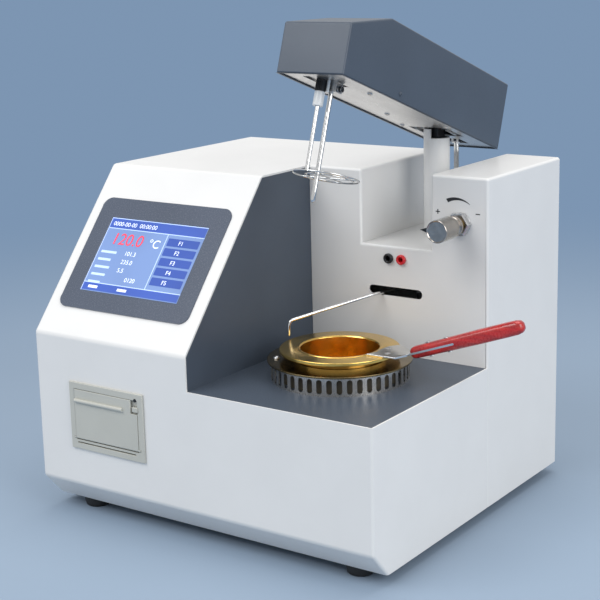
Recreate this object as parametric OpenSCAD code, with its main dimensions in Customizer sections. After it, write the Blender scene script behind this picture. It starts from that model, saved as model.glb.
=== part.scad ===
// Automatic open cup flash point tester.
// Lengths are in millimetres, X to the right, Y to the back, Z up.
// The origin is on the table, under the middle of the whole tester.

/* [Cabinet] */
// Width of the cabinet
body_w = 335; // [325:1:350]
// Depth of the cabinet
body_d = 308; // [300:1:325]
// Height of the cabinet above its feet
body_h = 277; // [270:1:290]
// Thickness of the sheet metal
sheet = 1.5; // [1:0.1:2]
// Depth of the sloped edge under the front
toe_d = 19; // [10:1:24]
// Height of the sloped edge under the front
toe_h = 21; // [12:1:30]
// Width of the console on the left
console_w = 163; // [158:1:170]
// Height of the console's upright front
lip_h = 149.3; // [145:0.1:155]
// Run of the console's sloped face
slope_run = 107.7; // [100:0.1:115]
// Height of the deck
deck_h = 120.7; // [118:0.1:124]
// Front of the wall behind the deck
wall_y = 177; // [174:1:182]
// Thickness of the dark plates
plate_t = 1.5; // [1:0.1:2]

/* [Feet] */
// Height of the feet below the cabinet
foot_h = 9; // [6:0.5:12]
// Radius of a foot
foot_r = 12; // [10:0.5:14]
// Distance of the feet from the cabinet's sides
foot_inset = 32; // [28:1:40]
// Distance of the feet from the cabinet's front and back
foot_inset_y = 32; // [32:1:45]
// Radius of the cabinet's screws
cabinet_screw_r = 1.5; // [1.2:0.1:1.8]

/* [Head recess] */
// Left side of the recess
notch_x = 215.3; // [213:0.1:217]
// Width of the recess
notch_w = 67.1; // [65:0.1:70]
// Height of the recess floor
notch_z = 213.8; // [212:0.1:218]

/* [Head] */
// Tilt of the head as it stands
head_tilt = 19.15; // [15:0.05:21]
// Width of the head
head_w = 60.6; // [54:0.1:62]
// Length of the head
head_l = 261; // [250:1:268]
// Height of the head
head_h = 58.5; // [52:0.5:60]
// Height of the head at its front
head_front_h = 39.7; // [35:0.1:44]
// Length of the head's sloped top
head_slope_l = 55.3; // [45:0.1:60]
// Thickness of the head's sheet
head_sheet = 1.2; // [1:0.1:1.5]
// Distance of the hinge pin from the head's back
hinge_back = 60.5; // [58:0.1:64]
// Height of the hinge pin above the head's lower edge
hinge_up = 4.9; // [4.5:0.1:6]
// Radius of the hinge pin
hinge_pin_r = 2.5; // [2:0.1:2.6]

/* [Lift] */
// Distance of the column from the cabinet's front
column_y = 246; // [244:1:248]
// Height of the hinge pin as it stands
hinge_z = 306; // [300:1:310]
// Radius of the column
column_r = 11.3; // [10.5:0.1:12]
// Radius of the column's inside
column_bore_r = 9.3; // [8.8:0.1:9.6]
// Height of the column's lower end
column_low_z = 150; // [148:1:156]
// Radius of the lead screw
screw_r = 4; // [3:0.5:5]
// Side of the lift motor
lift_motor_w = 42; // [36:1:44]
// Height of the lift motor
lift_motor_h = 40; // [34:1:42]
// Distance of the guide rod from the cabinet's front
rod_y = 281; // [278:1:283]
// Radius of the guide rod
rod_r = 2.3; // [2:0.1:2.6]
// Height of the guide rod's lower end
rod_low_z = 125; // [118:1:135]
// Radius of the clevis pin
clevis_pin_r = 1.5; // [1.2:0.1:1.7]

/* [Cup and heater] */
// Middle of the cup from the cabinet's left side
cup_x = 243; // [241:0.5:245]
// Middle of the cup from the cabinet's front
cup_y = 98.5; // [96:0.5:101]
// Height of the cup's rim
cup_z = 145.4; // [144:0.1:146]
// Inside radius of the cup
cup_bore_r = 31.75; // [31:0.05:32.5]
// Outside radius of the cup
cup_wall_r = 34; // [33.5:0.1:35]
// Radius of the cup's flange
flange_r = 48.6; // [46:0.1:49]
// Thickness of the cup's flange
flange_t = 3; // [2:0.1:4]
// Radius of the step under the flange
step_r = 37; // [36:0.5:41]
// Depth of the cup's inside
cup_depth = 33.6; // [30:0.1:34]
// Thickness of the cup's bottom
cup_floor_t = 2.8; // [2:0.1:3.5]
// Radius of the slotted guard
guard_r = 56; // [54:0.5:58]
// Height of the slotted guard
guard_h = 14.9; // [14:0.1:16]
// Wall of the slotted guard
guard_t = 1; // [0.8:0.1:1.5]
// Slots round the guard, an even number
guard_slots = 44; // [24:2:48]
// Width of a slot in the guard
guard_slot_w = 4.4; // [3:0.1:5]
// Height of a slot in the guard
guard_slot_h = 11.6; // [9:0.1:12]
// Thickness of the heater's top plate
heater_plate_t = 1.5; // [1:0.1:2]
// Radius of the heater's top plate
heater_plate_r = 58.8; // [57:0.1:60]
// Radius of the heater block
heater_block_r = 44; // [43:0.5:45]

/* [Cup handle] */
// Direction of the handle seen from above
handle_angle = 6.5; // [0:0.5:15]
// Pitch of the handle
handle_pitch = 19; // [14:0.5:22]
// Distance of the handle's inner end from the cup's middle
handle_start = 67.4; // [66:0.1:69]
// Length of the grip
grip_l = 93.3; // [85:0.1:110]
// Radius of the grip's inner end
grip_r1 = 5; // [4:0.1:6]
// Radius of the grip's outer end
grip_r2 = 5.7; // [5:0.1:7]
// Thickness of the handle's steel
tang_t = 1.6; // [1.2:0.1:2]

/* [Probe and ring] */
// Distance of the probe from the head's back
probe_back = 223.7; // [222:0.1:226]
// Offset of the probe from the head's middle
probe_x = -3; // [-5:0.1:0]
// Radius of the probe
probe_r = 1.9; // [1.5:0.1:2.2]
// Reach of the probe below the head
probe_drop = 91; // [85:0.5:95]
// Distance of the ring's middle from the head's back
ring_back = 208; // [206:0.1:210]
// Radius of the ring
ring_r = 26.5; // [24:0.1:28]
// Reach of the ring below the head
ring_drop = 68; // [66:0.5:69]
// Thickness of the ring's wire
ring_wire = 1.2; // [1:0.1:1.4]
// Radius of the ring's rod
ring_rod_r = 1.6; // [1.2:0.1:1.9]

/* [Flame arm] */
// Middle of the flame arm's pivot from the cabinet's left side
flame_x = 248; // [246:0.5:250]
// Distance of the flame arm's pivot from the cabinet's front
flame_y = 217.5; // [215:0.5:218]
// Height of the flame arm
flame_z = 173; // [172:0.5:175]
// Reach of the flame arm
flame_reach = 130.4; // [128:0.1:131]
// Angle of the flame arm as it stands
flame_angle = 25.3; // [24:0.1:26]
// Radius of the flame tube
flame_r = 1.4; // [1.2:0.1:1.6]
// Gap between the nozzle and the cup's rim
nozzle_gap = 1.6; // [1:0.1:3]
// Width of the slot in the wall
slot_w = 52; // [48:0.5:55]
// Height of the slot in the wall
slot_h = 7.9; // [7:0.1:8.5]

/* [Gas valve] */
// Middle of the valve from the cabinet's left side
valve_x = 309.8; // [306:0.1:312]
// Height of the valve
valve_z = 238.5; // [232:0.5:244]
// Radius of the knob
knob_r = 9.3; // [7:0.1:10]
// Reach of the knob in front of the wall
knob_reach = 39.5; // [34:0.5:44]
// Length of the knurled part of the knob
knob_l = 22; // [18:0.5:23]
// Width of the hexagon nut across its flats
nut_af = 18; // [16:0.5:20]
// Thickness of the hexagon nut
nut_t = 5; // [4:0.5:6]

/* [Lead sockets] */
// Height of the lead sockets
socket_z = 203.2; // [200:0.1:206]
// Middle of the black socket from the cabinet's left side
socket_x = 241.9; // [239:0.1:243]
// Distance between the lead sockets
socket_pitch = 12.4; // [11:0.1:15]
// Radius of a socket's head
socket_r = 4.3; // [4:0.1:5]
// Radius of a socket's bore
socket_bore_r = 2; // [1.8:0.1:2.2]
// Depth of a socket's bore
socket_bore_l = 14; // [12:1:16]

/* [Screen] */
// Left edge of the dark screen panel
bezel_x = 12; // [8:1:16]
// Width of the dark screen panel
bezel_w = 139.5; // [130:0.5:142]
// Lower edge of the panel, up the slope
bezel_s = 26.3; // [22:0.1:30]
// Height of the dark screen panel
bezel_h = 106.8; // [100:0.1:112]
// Left edge of the screen
lcd_x = 29; // [27:0.5:32]
// Width of the screen
lcd_w = 105; // [98:0.5:108]
// Lower edge of the screen, up the slope
lcd_s = 43.2; // [41:0.1:46]
// Height of the screen
lcd_h = 71; // [66:0.5:74]

/* [Printer] */
// Left edge of the printer
printer_x = 37.8; // [34:0.1:42]
// Width of the printer
printer_w = 80.4; // [78:0.1:84]
// Lower edge of the printer
printer_z = 53.5; // [50:0.1:57]
// Height of the printer
printer_h = 58; // [56:0.5:60]
// Reach of the printer's frame in front of the cabinet
printer_proud = 2; // [1.5:0.1:3]
// Depth of the printer inside the cabinet
printer_depth = 52; // [48:1:58]
// Width of the paper
paper_w = 57; // [54:1:58]
// Radius of the paper roll
paper_r = 17; // [12:0.5:18]

/* [Rear panel] */
// Side of the fan
fan_w = 80; // [76:1:84]
// Thickness of the fan
fan_t = 20; // [15:1:25]
// Middle of the fan from the cabinet's left side
fan_x = 85; // [75:1:95]
// Height of the fan's middle
fan_z = 185; // [175:1:195]
// Middle of the mains inlet from the cabinet's left side
inlet_x = 85; // [70:1:100]
// Height of the mains inlet's lower edge
inlet_z = 40; // [34:1:48]
// Middle of the gas inlet from the cabinet's left side
gas_x = 295; // [285:1:300]
// Height of the gas inlet
gas_z = 60; // [50:1:70]
// Radius of the gas spigot
gas_r = 4; // [3.5:0.1:4.5]
// Length of the gas spigot's straight part
gas_l = 14; // [12:1:16]

/* [Clearances] */
// Gap between pieces of the cabinet
gap = 0.2; // [0.1:0.05:0.25]
// Gap round pieces that move past others
clear = 0.3; // [0.25:0.05:0.4]
// Running clearance on a radius
run = 0.05; // [0.03:0.01:0.08]

/* [Hidden] */
$fn = 48;
far = 400;
slope_a = atan2(body_h - lip_h, slope_run);
toe_a = atan2(toe_h, toe_d);
head_x = notch_x + notch_w / 2;
// The sheet's inner corners along the front
lip_in = lip_h - sheet * cos(slope_a) + sheet * (1 - sin(slope_a)) * tan(slope_a);
slope_in = sheet * sin(slope_a) + (body_h - sheet - lip_h + sheet * cos(slope_a)) / tan(slope_a);
toe_in = toe_h + sheet * (1 - sin(toe_a)) / cos(toe_a);
toe_in_y = (sheet + (toe_h + 1) * cos(toe_a)) / sin(toe_a);
deck_low = deck_h - plate_t;
tray_y = toe_d + sheet + 1;
panel_y = body_d - sheet;
// Lift
column_top_z = hinge_z - 0.6;
column_cut_z = hinge_z - 8.5;
motor_top = sheet + lift_motor_h;
screw_low_z = motor_top + 1.5;
screw_top_z = column_low_z + 22;
cabinet_screw_l = foot_h + 2;
coupler_r = 8;
coupler_h = 15;
nut_l = 16;
bush_l = 24;
bush_top = notch_z - sheet;
clevis_up = hinge_up;
clevis_back = (column_y - rod_y + hinge_back * cos(head_tilt) + (clevis_up - hinge_up) * sin(head_tilt))
    / cos(head_tilt);
clevis_back_low = hinge_back + column_y - rod_y;
clevis_z = hinge_z - (hinge_back - clevis_back) * sin(head_tilt);
clevis_half = 3.6;
tongue_t = 2;
// Cup and heater
cup_floor_z = cup_z - cup_depth;
flange_low = cup_z - flange_t;
grip_run = (grip_l - grip_r2) * cos(handle_pitch);
handle_tip_x = cup_x + (handle_start + grip_run) * cos(handle_angle) + grip_r2;
plate_low = deck_h + guard_h;
plate_top = plate_low + heater_plate_t;
step_low = plate_low - 0.6;
seat_z = step_low - clear;
block_low = cup_floor_z - cup_floor_t - clear - 5;
band_t = 2.6;
deck_hole_r = heater_block_r + band_t + 1.5;
plate_screw_at = 51;
plate_screw_angles = [35, 215];
rim_h = 0.6;
// Handle
handle_up = 2.4;
tang_back = handle_up / sin(handle_pitch);
tang_bend = handle_start - handle_up / tan(handle_pitch);
plate_rivets = [[39.5, 6], [45.5, -7.5]];
grip_rivets = [12, 28];
// Flame arm
nozzle_z = cup_z + rim_h + nozzle_gap;
nozzle_top = nozzle_z + 12.5;
// Bend of the flame tube, along the arm and beside it
bend_along = 52.15;
bend_side = 6.98;
hub_turn = atan2(bend_side, bend_along);
nose_l = norm([flame_reach - bend_along, bend_side]);
nose_turn = atan2(-bend_side, flame_reach - bend_along);
tube_start = 4.5;
ball_r = flame_r + 0.03;
sweep_motor_r = 18.5;
sweep_offset = 9;
sweep_top = 150;
slot_x = flame_x - 0.2;
slot_z = flame_z + 1.8;
// Printer
door_x = printer_x + 6;
door_w = printer_w - 12;
door_z = printer_z + 8.5;
door_h = printer_h - 6 - 8.5;
door_t = 2;
door_pin_r = 1.2;
door_axis_y = -door_t / 2 - 0.4;
door_axis_z = door_z + 1.6;
finger_r = 1.6;
finger_z = printer_z + 42.6;
finger_y = -door_t - 1;
roll_y = 25;
roll_z = printer_z + 33;
spindle_r = 4;
platen_r = 4.5;
platen_y = 8;
platen_z = printer_z + 8.2;
platen_axle_r = 1.4;
button_x = printer_x + printer_w - 7.8;
button_z = printer_z + 44.6;
lamp_z = printer_z + 52.4;
button_y = 5;
feed_stroke = 1.5;
// Rear panel
inlet_w = 28;
inlet_h = 58;
rocker_z = inlet_z + 45;
fan_hub_r = 15;
fan_ring_r = fan_w / 2 - 3;
gas_end_y = body_d + 6 + gas_l;
// Origin, from the cabinet's lower left front corner
origin_x = handle_tip_x / 2;
origin_y = (gas_end_y + finger_y - finger_r) / 2;

// The gas inlet shares the valve's node, because its pipe joins them

// Places pieces drawn from the cabinet's lower left front corner
module in_cabinet() {
    translate([-origin_x, -origin_y, foot_h]) children();
}

// Extrudes an outline of Y and Z points from one X to another
module side_prism(x0, x1, points) {
    translate([x0, 0, 0]) rotate([90, 0, 90]) linear_extrude(x1 - x0) polygon(points);
}

// Places pieces drawn on the console's sloped face: X along it, Y up it, Z out of it
module on_slope() {
    in_cabinet() translate([0, 0, lip_h]) rotate([slope_a, 0, 0]) children();
}

// Places pieces of the head, drawn from the middle of its lower back edge
module in_head() {
    in_cabinet() translate([head_x, column_y, hinge_z]) rotate([-head_tilt, 0, 0])
        translate([0, hinge_back, -hinge_up]) children();
}

// Places pieces drawn round the cup's middle
module at_cup() {
    in_cabinet() translate([cup_x, cup_y, 0]) children();
}

// Cylinder along X
module rod_x(r, x0, x1) {
    translate([x0, 0, 0]) rotate([0, 90, 0]) cylinder(h = x1 - x0, r = r);
}

// Cylinder along Y
module rod_y_axis(r, y0, y1) {
    translate([0, y1, 0]) rotate([90, 0, 0]) cylinder(h = y1 - y0, r = r);
}

// Ring round Z
module ring(r_out, r_in, z0, z1) {
    translate([0, 0, z0]) difference() {
        cylinder(h = z1 - z0, r = r_out);
        translate([0, 0, -1]) cylinder(h = z1 - z0 + 2, r = r_in);
    }
}

// Plate with round corners
module round_plate(w, h, t, r) {
    linear_extrude(t) round_outline(w, h, r);
}

module round_outline(w, h, r) {
    translate([r, 0]) square([w - 2 * r, h]);
    translate([0, r]) square([w, h - 2 * r]);
    for (x = [r, w - r], y = [r, h - r]) translate([x, y]) circle(r);
}

// Pan head screw that points down, with a cross in its head
module screw_down(r, l) {
    difference() {
        union() {
            cylinder(h = r * 1.1, r = r * 1.9);
            translate([0, 0, -l]) cylinder(h = l + 0.1, r = r);
        }
        for (a = [0, 90]) rotate(a) translate([-r, -0.3, r * 0.5]) cube([2 * r, 0.6, r]);
    }
}

// Outline of the console, Y and Z
function console_outer() = [
    [toe_d, 0], [0, toe_h], [0, lip_h], [slope_run, body_h], [body_d, body_h], [body_d, 0]
];
function console_inner() = [
    [toe_in_y, -1], [sheet, toe_in], [sheet, lip_in], [slope_in, body_h - sheet],
    [body_d + 1, body_h - sheet], [body_d + 1, -1]
];
// Outline of the part under the deck, Y and Z
function deck_outer() = [[toe_d, 0], [0, toe_h], [0, deck_h], [wall_y, deck_h], [wall_y, 0]];
function deck_inner() = [
    [toe_in_y, -1], [sheet, toe_in], [sheet, deck_low - sheet], [wall_y + 1, deck_low - sheet],
    [wall_y + 1, -1]
];
// Outline of the tower behind the deck, Y and Z
function tower_outer() = [[wall_y, 0], [wall_y, body_h], [body_d, body_h], [body_d, 0]];
function tower_inner() = [
    [wall_y - 1, -1], [wall_y - 1, deck_low - sheet], [wall_y + sheet, deck_low - sheet],
    [wall_y + sheet, body_h - sheet], [body_d + 1, body_h - sheet], [body_d + 1, -1]
];

// Folded cover of the console, open on its right
module console_shell() {
    color("white") in_cabinet() difference() {
        side_prism(0, console_w, console_outer());
        side_prism(sheet, console_w + 1, console_inner());
        printer_hole();
        screen_hole();
    }
}

// Folded cover under the deck, with the front and the right side
module deck_shell() {
    color("white") in_cabinet() difference() {
        side_prism(console_w, body_w, deck_outer());
        side_prism(console_w - 1, body_w - sheet, deck_inner());
        // The liner lies in a shallow recess
        translate([console_w - 1, sheet, deck_low]) cube([body_w - console_w - sheet + 1, wall_y, 50]);
        translate([cup_x, cup_y, deck_low - 10]) cylinder(h = 20, r = deck_hole_r);
        heater_screw_holes();
    }
}

// Folded cover of the tower, with the wall, the recess, the top and the right side
module tower_shell() {
    color("white") in_cabinet() difference() {
        side_prism(console_w, body_w, tower_outer());
        difference() {
            side_prism(console_w - 1, body_w - sheet, tower_inner());
            translate([notch_x - sheet, wall_y - 1, notch_z - sheet])
                cube([notch_w + 2 * sheet, body_d, body_h]);
        }
        translate([notch_x, wall_y - 1, notch_z]) cube([notch_w, body_d, body_h]);
        bush_holes();
        wall_holes();
    }
}

module heater_screw_holes() {
    translate([cup_x, cup_y, deck_low - 10]) plate_screw_places() cylinder(h = 20, r = 1.5 + gap);
}

// Places of the heater plate's screws, from the cup's middle
module plate_screw_places() {
    for (a = plate_screw_angles) rotate(a) translate([plate_screw_at, 0, 0]) children();
}

module bush_holes() {
    translate([head_x, column_y, notch_z - 10]) cylinder(h = 20, r = column_r + clear);
    translate([head_x, rod_y, notch_z - 10]) cylinder(h = 20, r = rod_r + clear);
}

module wall_holes() {
    translate([slot_x, wall_y + 5, slot_z]) rotate([90, 0, 0]) linear_extrude(10) {
        square([slot_w - slot_h, slot_h], center = true);
        for (s = [-1, 1]) translate([s * (slot_w - slot_h) / 2, 0]) circle(slot_h / 2);
    }
    for (i = [0, 1]) translate([socket_x + i * socket_pitch, 0, socket_z])
        rod_y_axis(socket_r - 1.2 + gap, wall_y - 5, wall_y + 5);
    translate([valve_x, 0, valve_z]) rod_y_axis(5 + gap, wall_y - 5, wall_y + 5);
}

module printer_hole() {
    translate([printer_x + 3 - gap, -5, printer_z + 3 - gap])
        cube([printer_w - 6 + 2 * gap, 10 + sheet, printer_h - 6 + 2 * gap]);
}

module screen_hole() {
    translate([0, 0, lip_h]) rotate([slope_a, 0, 0])
        translate([lcd_x - 3 - gap, lcd_s - 3 - gap, -5])
            cube([lcd_w + 6 + 2 * gap, lcd_h + 6 + 2 * gap, 10]);
}

// Places of the rear panel's screws, X and Z
panel_screws = [
    [8, 12], [body_w / 2, 12], [body_w - 8, 12], [8, body_h / 2], [body_w - 8, body_h / 2],
    [8, body_h - 10], [console_w, body_h - 10], [body_w - 8, body_h - 10]
];

module panel_screw_holes() {
    for (p = panel_screws) translate([p[0], 0, p[1]])
        rod_y_axis(cabinet_screw_r + gap, body_d - 20, body_d + 5);
}

// Outline of the liner's cheek beside the console, Y and Z
function cheek_outline() = [
    [sheet + gap, deck_low], [sheet + gap, lip_in - gap], [slope_in, body_h - sheet - gap],
    [wall_y - gap, body_h - sheet - gap], [wall_y - gap, deck_low]
];

// Dark sheet folded once: the cheek beside the console and the deck round the heater
module bay_liner() {
    x0 = console_w - plate_t;
    color([0.28, 0.33, 0.38]) in_cabinet() difference() {
        union() {
            side_prism(x0, console_w, cheek_outline());
            translate([x0, sheet + gap, deck_low])
                cube([body_w - sheet - gap - x0, wall_y - sheet - 2 * gap, plate_t - 0.05]);
        }
        translate([cup_x, cup_y, deck_low - 10]) cylinder(h = 20, r = deck_hole_r);
        heater_screw_holes();
    }
}

module base_tray() {
    tray_w = body_w - 2 * sheet - 2 * gap;
    tray_d = panel_y - gap - tray_y;
    color("silver") in_cabinet() difference() {
        union() {
            translate([sheet + gap, tray_y, 0]) cube([tray_w, tray_d, sheet]);
            for (x = [sheet + gap, body_w - 2 * sheet - gap]) translate([x, tray_y, 0])
                cube([sheet, tray_d, 14]);
            translate([sheet + gap, panel_y - sheet - gap, 0]) cube([tray_w, sheet, 18]);
        }
        foot_places() translate([0, 0, -5]) cylinder(h = 20, r = cabinet_screw_r + gap);
        // Air slots under the heater
        for (i = [-3:3]) translate([cup_x + i * 12 - 2, cup_y - 25, -1]) cube([4, 50, sheet + 2]);
        panel_screw_holes();
    }
}

module foot_places() {
    for (x = [foot_inset, body_w - foot_inset], y = [foot_inset_y, body_d - foot_inset_y])
        translate([x, y, 0]) children();
}

module rubber_feet() {
    color([0.08, 0.08, 0.09]) in_cabinet() foot_places() difference() {
        translate([0, 0, -foot_h]) union() {
            cylinder(h = 1, r1 = foot_r - 2.2, r2 = foot_r - 1.2);
            translate([0, 0, 1]) cylinder(h = foot_h - 1, r1 = foot_r - 1.2, r2 = foot_r);
        }
        translate([0, 0, -foot_h - 1]) cylinder(h = 4, r = 4.5);
        translate([0, 0, -foot_h - 1]) cylinder(h = foot_h + 5, r = cabinet_screw_r + gap);
    }
}

module rear_panel() {
    color("white") in_cabinet() difference() {
        translate([sheet + gap, panel_y, sheet + gap])
            cube([body_w - 2 * sheet - 2 * gap, sheet, body_h - 2 * sheet - 2 * gap]);
        translate([notch_x - sheet - gap, panel_y - 1, notch_z - sheet - gap])
            cube([notch_w + 2 * sheet + 2 * gap, sheet + 2, body_h]);
        translate([fan_x, 0, fan_z]) {
            for (r = [1:4], i = [0:6 * r - 1]) rotate([0, i * 60 / r, 0])
                translate([r * 8.2, 0, 0]) rod_y_axis(2.7, panel_y - 1, body_d + 1);
            for (x = [-1, 1], z = [-1, 1]) translate([x * (fan_w / 2 - 5), 0, z * (fan_w / 2 - 5)])
                rod_y_axis(2, panel_y - 1, body_d + 1);
        }
        translate([inlet_x - inlet_w / 2 + 2 - gap, panel_y - 1, inlet_z + 2 - gap])
            cube([inlet_w - 4 + 2 * gap, sheet + 2, inlet_h - 4 + 2 * gap]);
        translate([gas_x, 0, gas_z]) rod_y_axis(5 + gap, panel_y - 1, body_d + 1);
        // Louvres on the right
        for (i = [0:5]) translate([225, panel_y - 1, 95 + i * 10]) cube([70, sheet + 2, 4]);
        panel_screw_holes();
    }
}

// The same screw holds the rear panel and, with a nut, each foot
module cabinet_screws() {
    color("silver") in_cabinet() {
        for (p = panel_screws) translate([p[0], body_d, p[1]]) rotate([-90, 0, 0])
            screw_down(cabinet_screw_r, cabinet_screw_l);
        foot_places() {
            translate([0, 0, -foot_h + 3]) rotate([180, 0, 0]) screw_down(cabinet_screw_r, cabinet_screw_l);
            translate([0, 0, sheet + gap]) difference() {
                cylinder(h = 2.4, r = 3.1, $fn = 6);
                translate([0, 0, -1]) cylinder(h = 5, r = cabinet_screw_r + run);
            }
        }
    }
}

module screen_bezel() {
    color([0.27, 0.32, 0.40]) on_slope() difference() {
        translate([bezel_x, bezel_s, 0.02]) round_plate(bezel_w, bezel_h, 1.1, 9);
        translate([lcd_x, lcd_s, -1]) cube([lcd_w, lcd_h, 4]);
    }
}

module touch_screen() {
    color([0.45, 0.58, 0.75]) on_slope() {
        translate([lcd_x - 3, lcd_s - 3, -8]) cube([lcd_w + 6, lcd_h + 6, 8]);
        translate([lcd_x + gap, lcd_s + gap, -0.1]) cube([lcd_w - 2 * gap, lcd_h - 2 * gap, 0.7]);
        translate([lcd_x + 8, lcd_s + 4, -15]) cube([lcd_w - 16, lcd_h - 8, 7.5]);
    }
}

module printer_frame() {
    color([0.80, 0.80, 0.76]) in_cabinet() difference() {
        union() {
            translate([printer_x, -printer_proud, printer_z]) cube([printer_w, printer_proud, printer_h]);
            translate([printer_x + 3, -0.1, printer_z + 3])
                cube([printer_w - 6, printer_depth, printer_h - 6]);
        }
        // The paper well and its mouth behind the door
        translate([printer_x + 9, 6, printer_z + 12])
            cube([printer_w - 18, printer_depth - 9, printer_h - 19]);
        translate([printer_x + 9, -5, printer_z + 12])
            cube([button_x - printer_x - 16, 12, printer_h - 19]);
        // The bay of the platen roller, open below the door
        translate([printer_x + 9, 1, printer_z + 4.6]) cube([printer_w - 18, 12, 12]);
        // The door's recess
        translate([door_x - clear, -5, door_z - clear]) cube([door_w + 2 * clear, 5.6, door_h + 2 * clear]);
        // The paper slit
        translate([printer_x + 7, -5, printer_z + 5.2]) cube([printer_w - 16, 10, 1.3]);
        translate([0, door_axis_y, door_axis_z])
            rod_x(door_pin_r + run, door_x - 2.5, door_x + door_w + 2.5);
        translate([0, platen_y, platen_z])
            rod_x(platen_axle_r + run, printer_x + 5.5, printer_x + printer_w - 5.5);
        translate([button_x - 3 - clear, -5, button_z - 2 - clear])
            cube([6 + 2 * clear, 5 + button_y + clear, 4 + 2 * clear]);
        translate([button_x, 0, lamp_z]) rod_y_axis(1.4 + gap, -5, 6);
    }
    color([0.80, 0.80, 0.76]) in_cabinet() translate([0, roll_y, roll_z])
        rod_x(spindle_r, printer_x + 8, printer_x + printer_w - 8);
}

module printer_door() {
    color([0.76, 0.76, 0.71]) in_cabinet() {
        difference() {
            translate([door_x, -door_t - 0.4, door_axis_z])
                cube([door_w, door_t, door_z + door_h - door_axis_z]);
            translate([button_x - 5, -5, button_z - 4]) cube([30, 10, 30]);
        }
        translate([0, door_axis_y, door_axis_z]) {
            rod_x(door_t / 2, door_x, door_x + door_w);
            rod_x(door_pin_r - 0.2, door_x - 2, door_x + door_w + 2);
        }
        // The finger bar across the door
        translate([0, finger_y, finger_z]) rod_x(finger_r, door_x + 1, button_x - 13);
    }
}

module feed_button() {
    color([0.7, 0.7, 0.66]) in_cabinet() translate([button_x - 3, -printer_proud - 0.8, button_z - 2])
        cube([6, printer_proud + 0.8 + button_y - feed_stroke, 4]);
}

module printer_lamp() {
    color([0.1, 0.1, 0.1]) in_cabinet() translate([button_x, 0, lamp_z])
        rod_y_axis(1.4, -printer_proud - 0.3, 5);
}

module platen_roller() {
    color([0.15, 0.15, 0.15]) in_cabinet() translate([0, platen_y, platen_z]) {
        rod_x(platen_r - 1.2, printer_x + 10, printer_x + printer_w - 10);
        rod_x(platen_axle_r, printer_x + 6, printer_x + printer_w - 6);
    }
}

module paper_roll() {
    x0 = printer_x + (printer_w - paper_w) / 2;
    color([0.95, 0.95, 0.93]) in_cabinet() translate([0, roll_y, roll_z]) difference() {
        rod_x(paper_r, x0, x0 + paper_w);
        rod_x(spindle_r + 0.1, x0 - 1, x0 + paper_w + 1);
    }
}

module valve_body() {
    pipe_z = valve_z - 20;
    color("goldenrod") in_cabinet() {
        difference() {
            translate([valve_x, 0, valve_z]) union() {
                rod_y_axis(5, wall_y - nut_t - 4, wall_y + 12);
                translate([-8, wall_y + 10, -9]) cube([16, 18, 18]);
                translate([0, wall_y + 20, -28]) cylinder(h = 20, r = 3);
            }
            translate([valve_x, 0, valve_z]) rod_y_axis(2 + run, wall_y - 30, wall_y + 14);
        }
        // The gas pipe down to the inlet at the back
        translate([valve_x, wall_y + 20, gas_z]) cylinder(h = pipe_z - gas_z, r = 2.5);
        translate([valve_x, wall_y + 20, gas_z]) sphere(2.5);
        gas_pipe_run();
        // The gas inlet through the rear panel
        translate([gas_x, 0, gas_z]) difference() {
            union() {
                rod_y_axis(5, panel_y - 8, body_d + 3);
                rod_y_axis(8, body_d + gap, body_d + 4);
                rod_y_axis(gas_r, body_d + 3, body_d + 4 + gas_l);
                rod_y_axis(gas_r - 0.5, body_d + 3 + gas_l, gas_end_y);
            }
            rod_y_axis(gas_r - 2, body_d - 4, body_d + 8 + gas_l);
        }
    }
}

module gas_pipe_run() {
    dx = gas_x - valve_x;
    dy = panel_y - 8 - (wall_y + 20);
    translate([valve_x, wall_y + 20, gas_z]) rotate([0, 0, atan2(dy, dx)])
        rotate([0, 90, 0]) cylinder(h = norm([dx, dy]) + 1, r = 2.5);
}

module valve_nut() {
    color("silver") in_cabinet() translate([valve_x, 0, valve_z]) difference() {
        union() {
            rod_y_axis(nut_af / 2 + 0.5, wall_y - 1, wall_y - gap);
            translate([0, wall_y - 1, 0]) rotate([90, 0, 0]) rotate(3)
                cylinder(h = nut_t, r = nut_af / 2 / cos(30), $fn = 6);
        }
        rod_y_axis(5 + gap, wall_y - 20, wall_y + 5);
    }
}

module valve_knob() {
    y0 = wall_y - knob_reach;
    color("silver") in_cabinet() translate([valve_x, 0, valve_z]) {
        rod_y_axis(knob_r, y0, y0 + knob_l);
        rod_y_axis(knob_r - 1.6, y0 + knob_l - 0.1, wall_y - nut_t - 4 - 4);
        rod_y_axis(knob_r - 0.6, y0 + knob_l + 4, y0 + knob_l + 7);
        rod_y_axis(2, y0 + 5, wall_y + 8);
    }
}

module knob_pointer() {
    y0 = wall_y - knob_reach + 3;
    color([0.1, 0.1, 0.1]) in_cabinet() translate([valve_x, y0, valve_z]) rotate([-90, 0, 0])
        linear_extrude(2.2) polygon([[-knob_r - 0.1, -2.4], [-knob_r - 7.3, 0], [-knob_r - 0.1, 2.4]]);
}

module lead_socket() {
    difference() {
        union() {
            rod_y_axis(socket_r, wall_y - 3, wall_y - gap);
            rod_y_axis(socket_r - 1.2, wall_y - 1, wall_y + socket_bore_l);
            translate([0, wall_y + sheet + 3.5, 0]) rotate([90, 0, 0]) cylinder(h = 3, r = 5, $fn = 6);
        }
        rod_y_axis(socket_bore_r, wall_y - 4, wall_y - 3 + socket_bore_l);
    }
}

module black_socket() {
    color([0.08, 0.08, 0.08]) in_cabinet() translate([socket_x, 0, socket_z]) lead_socket();
}

module red_socket() {
    color([0.85, 0.1, 0.1]) in_cabinet() translate([socket_x + socket_pitch, 0, socket_z]) lead_socket();
}

module heater_guard() {
    color("silver") at_cup() difference() {
        ring(guard_r, guard_r - guard_t, deck_h, plate_low);
        translate([0, 0, deck_h + guard_h / 2]) for (i = [0:guard_slots - 1])
            rotate(i * 360 / guard_slots) translate([guard_r - guard_t / 2, 0, 0]) guard_slot();
    }
}

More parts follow.
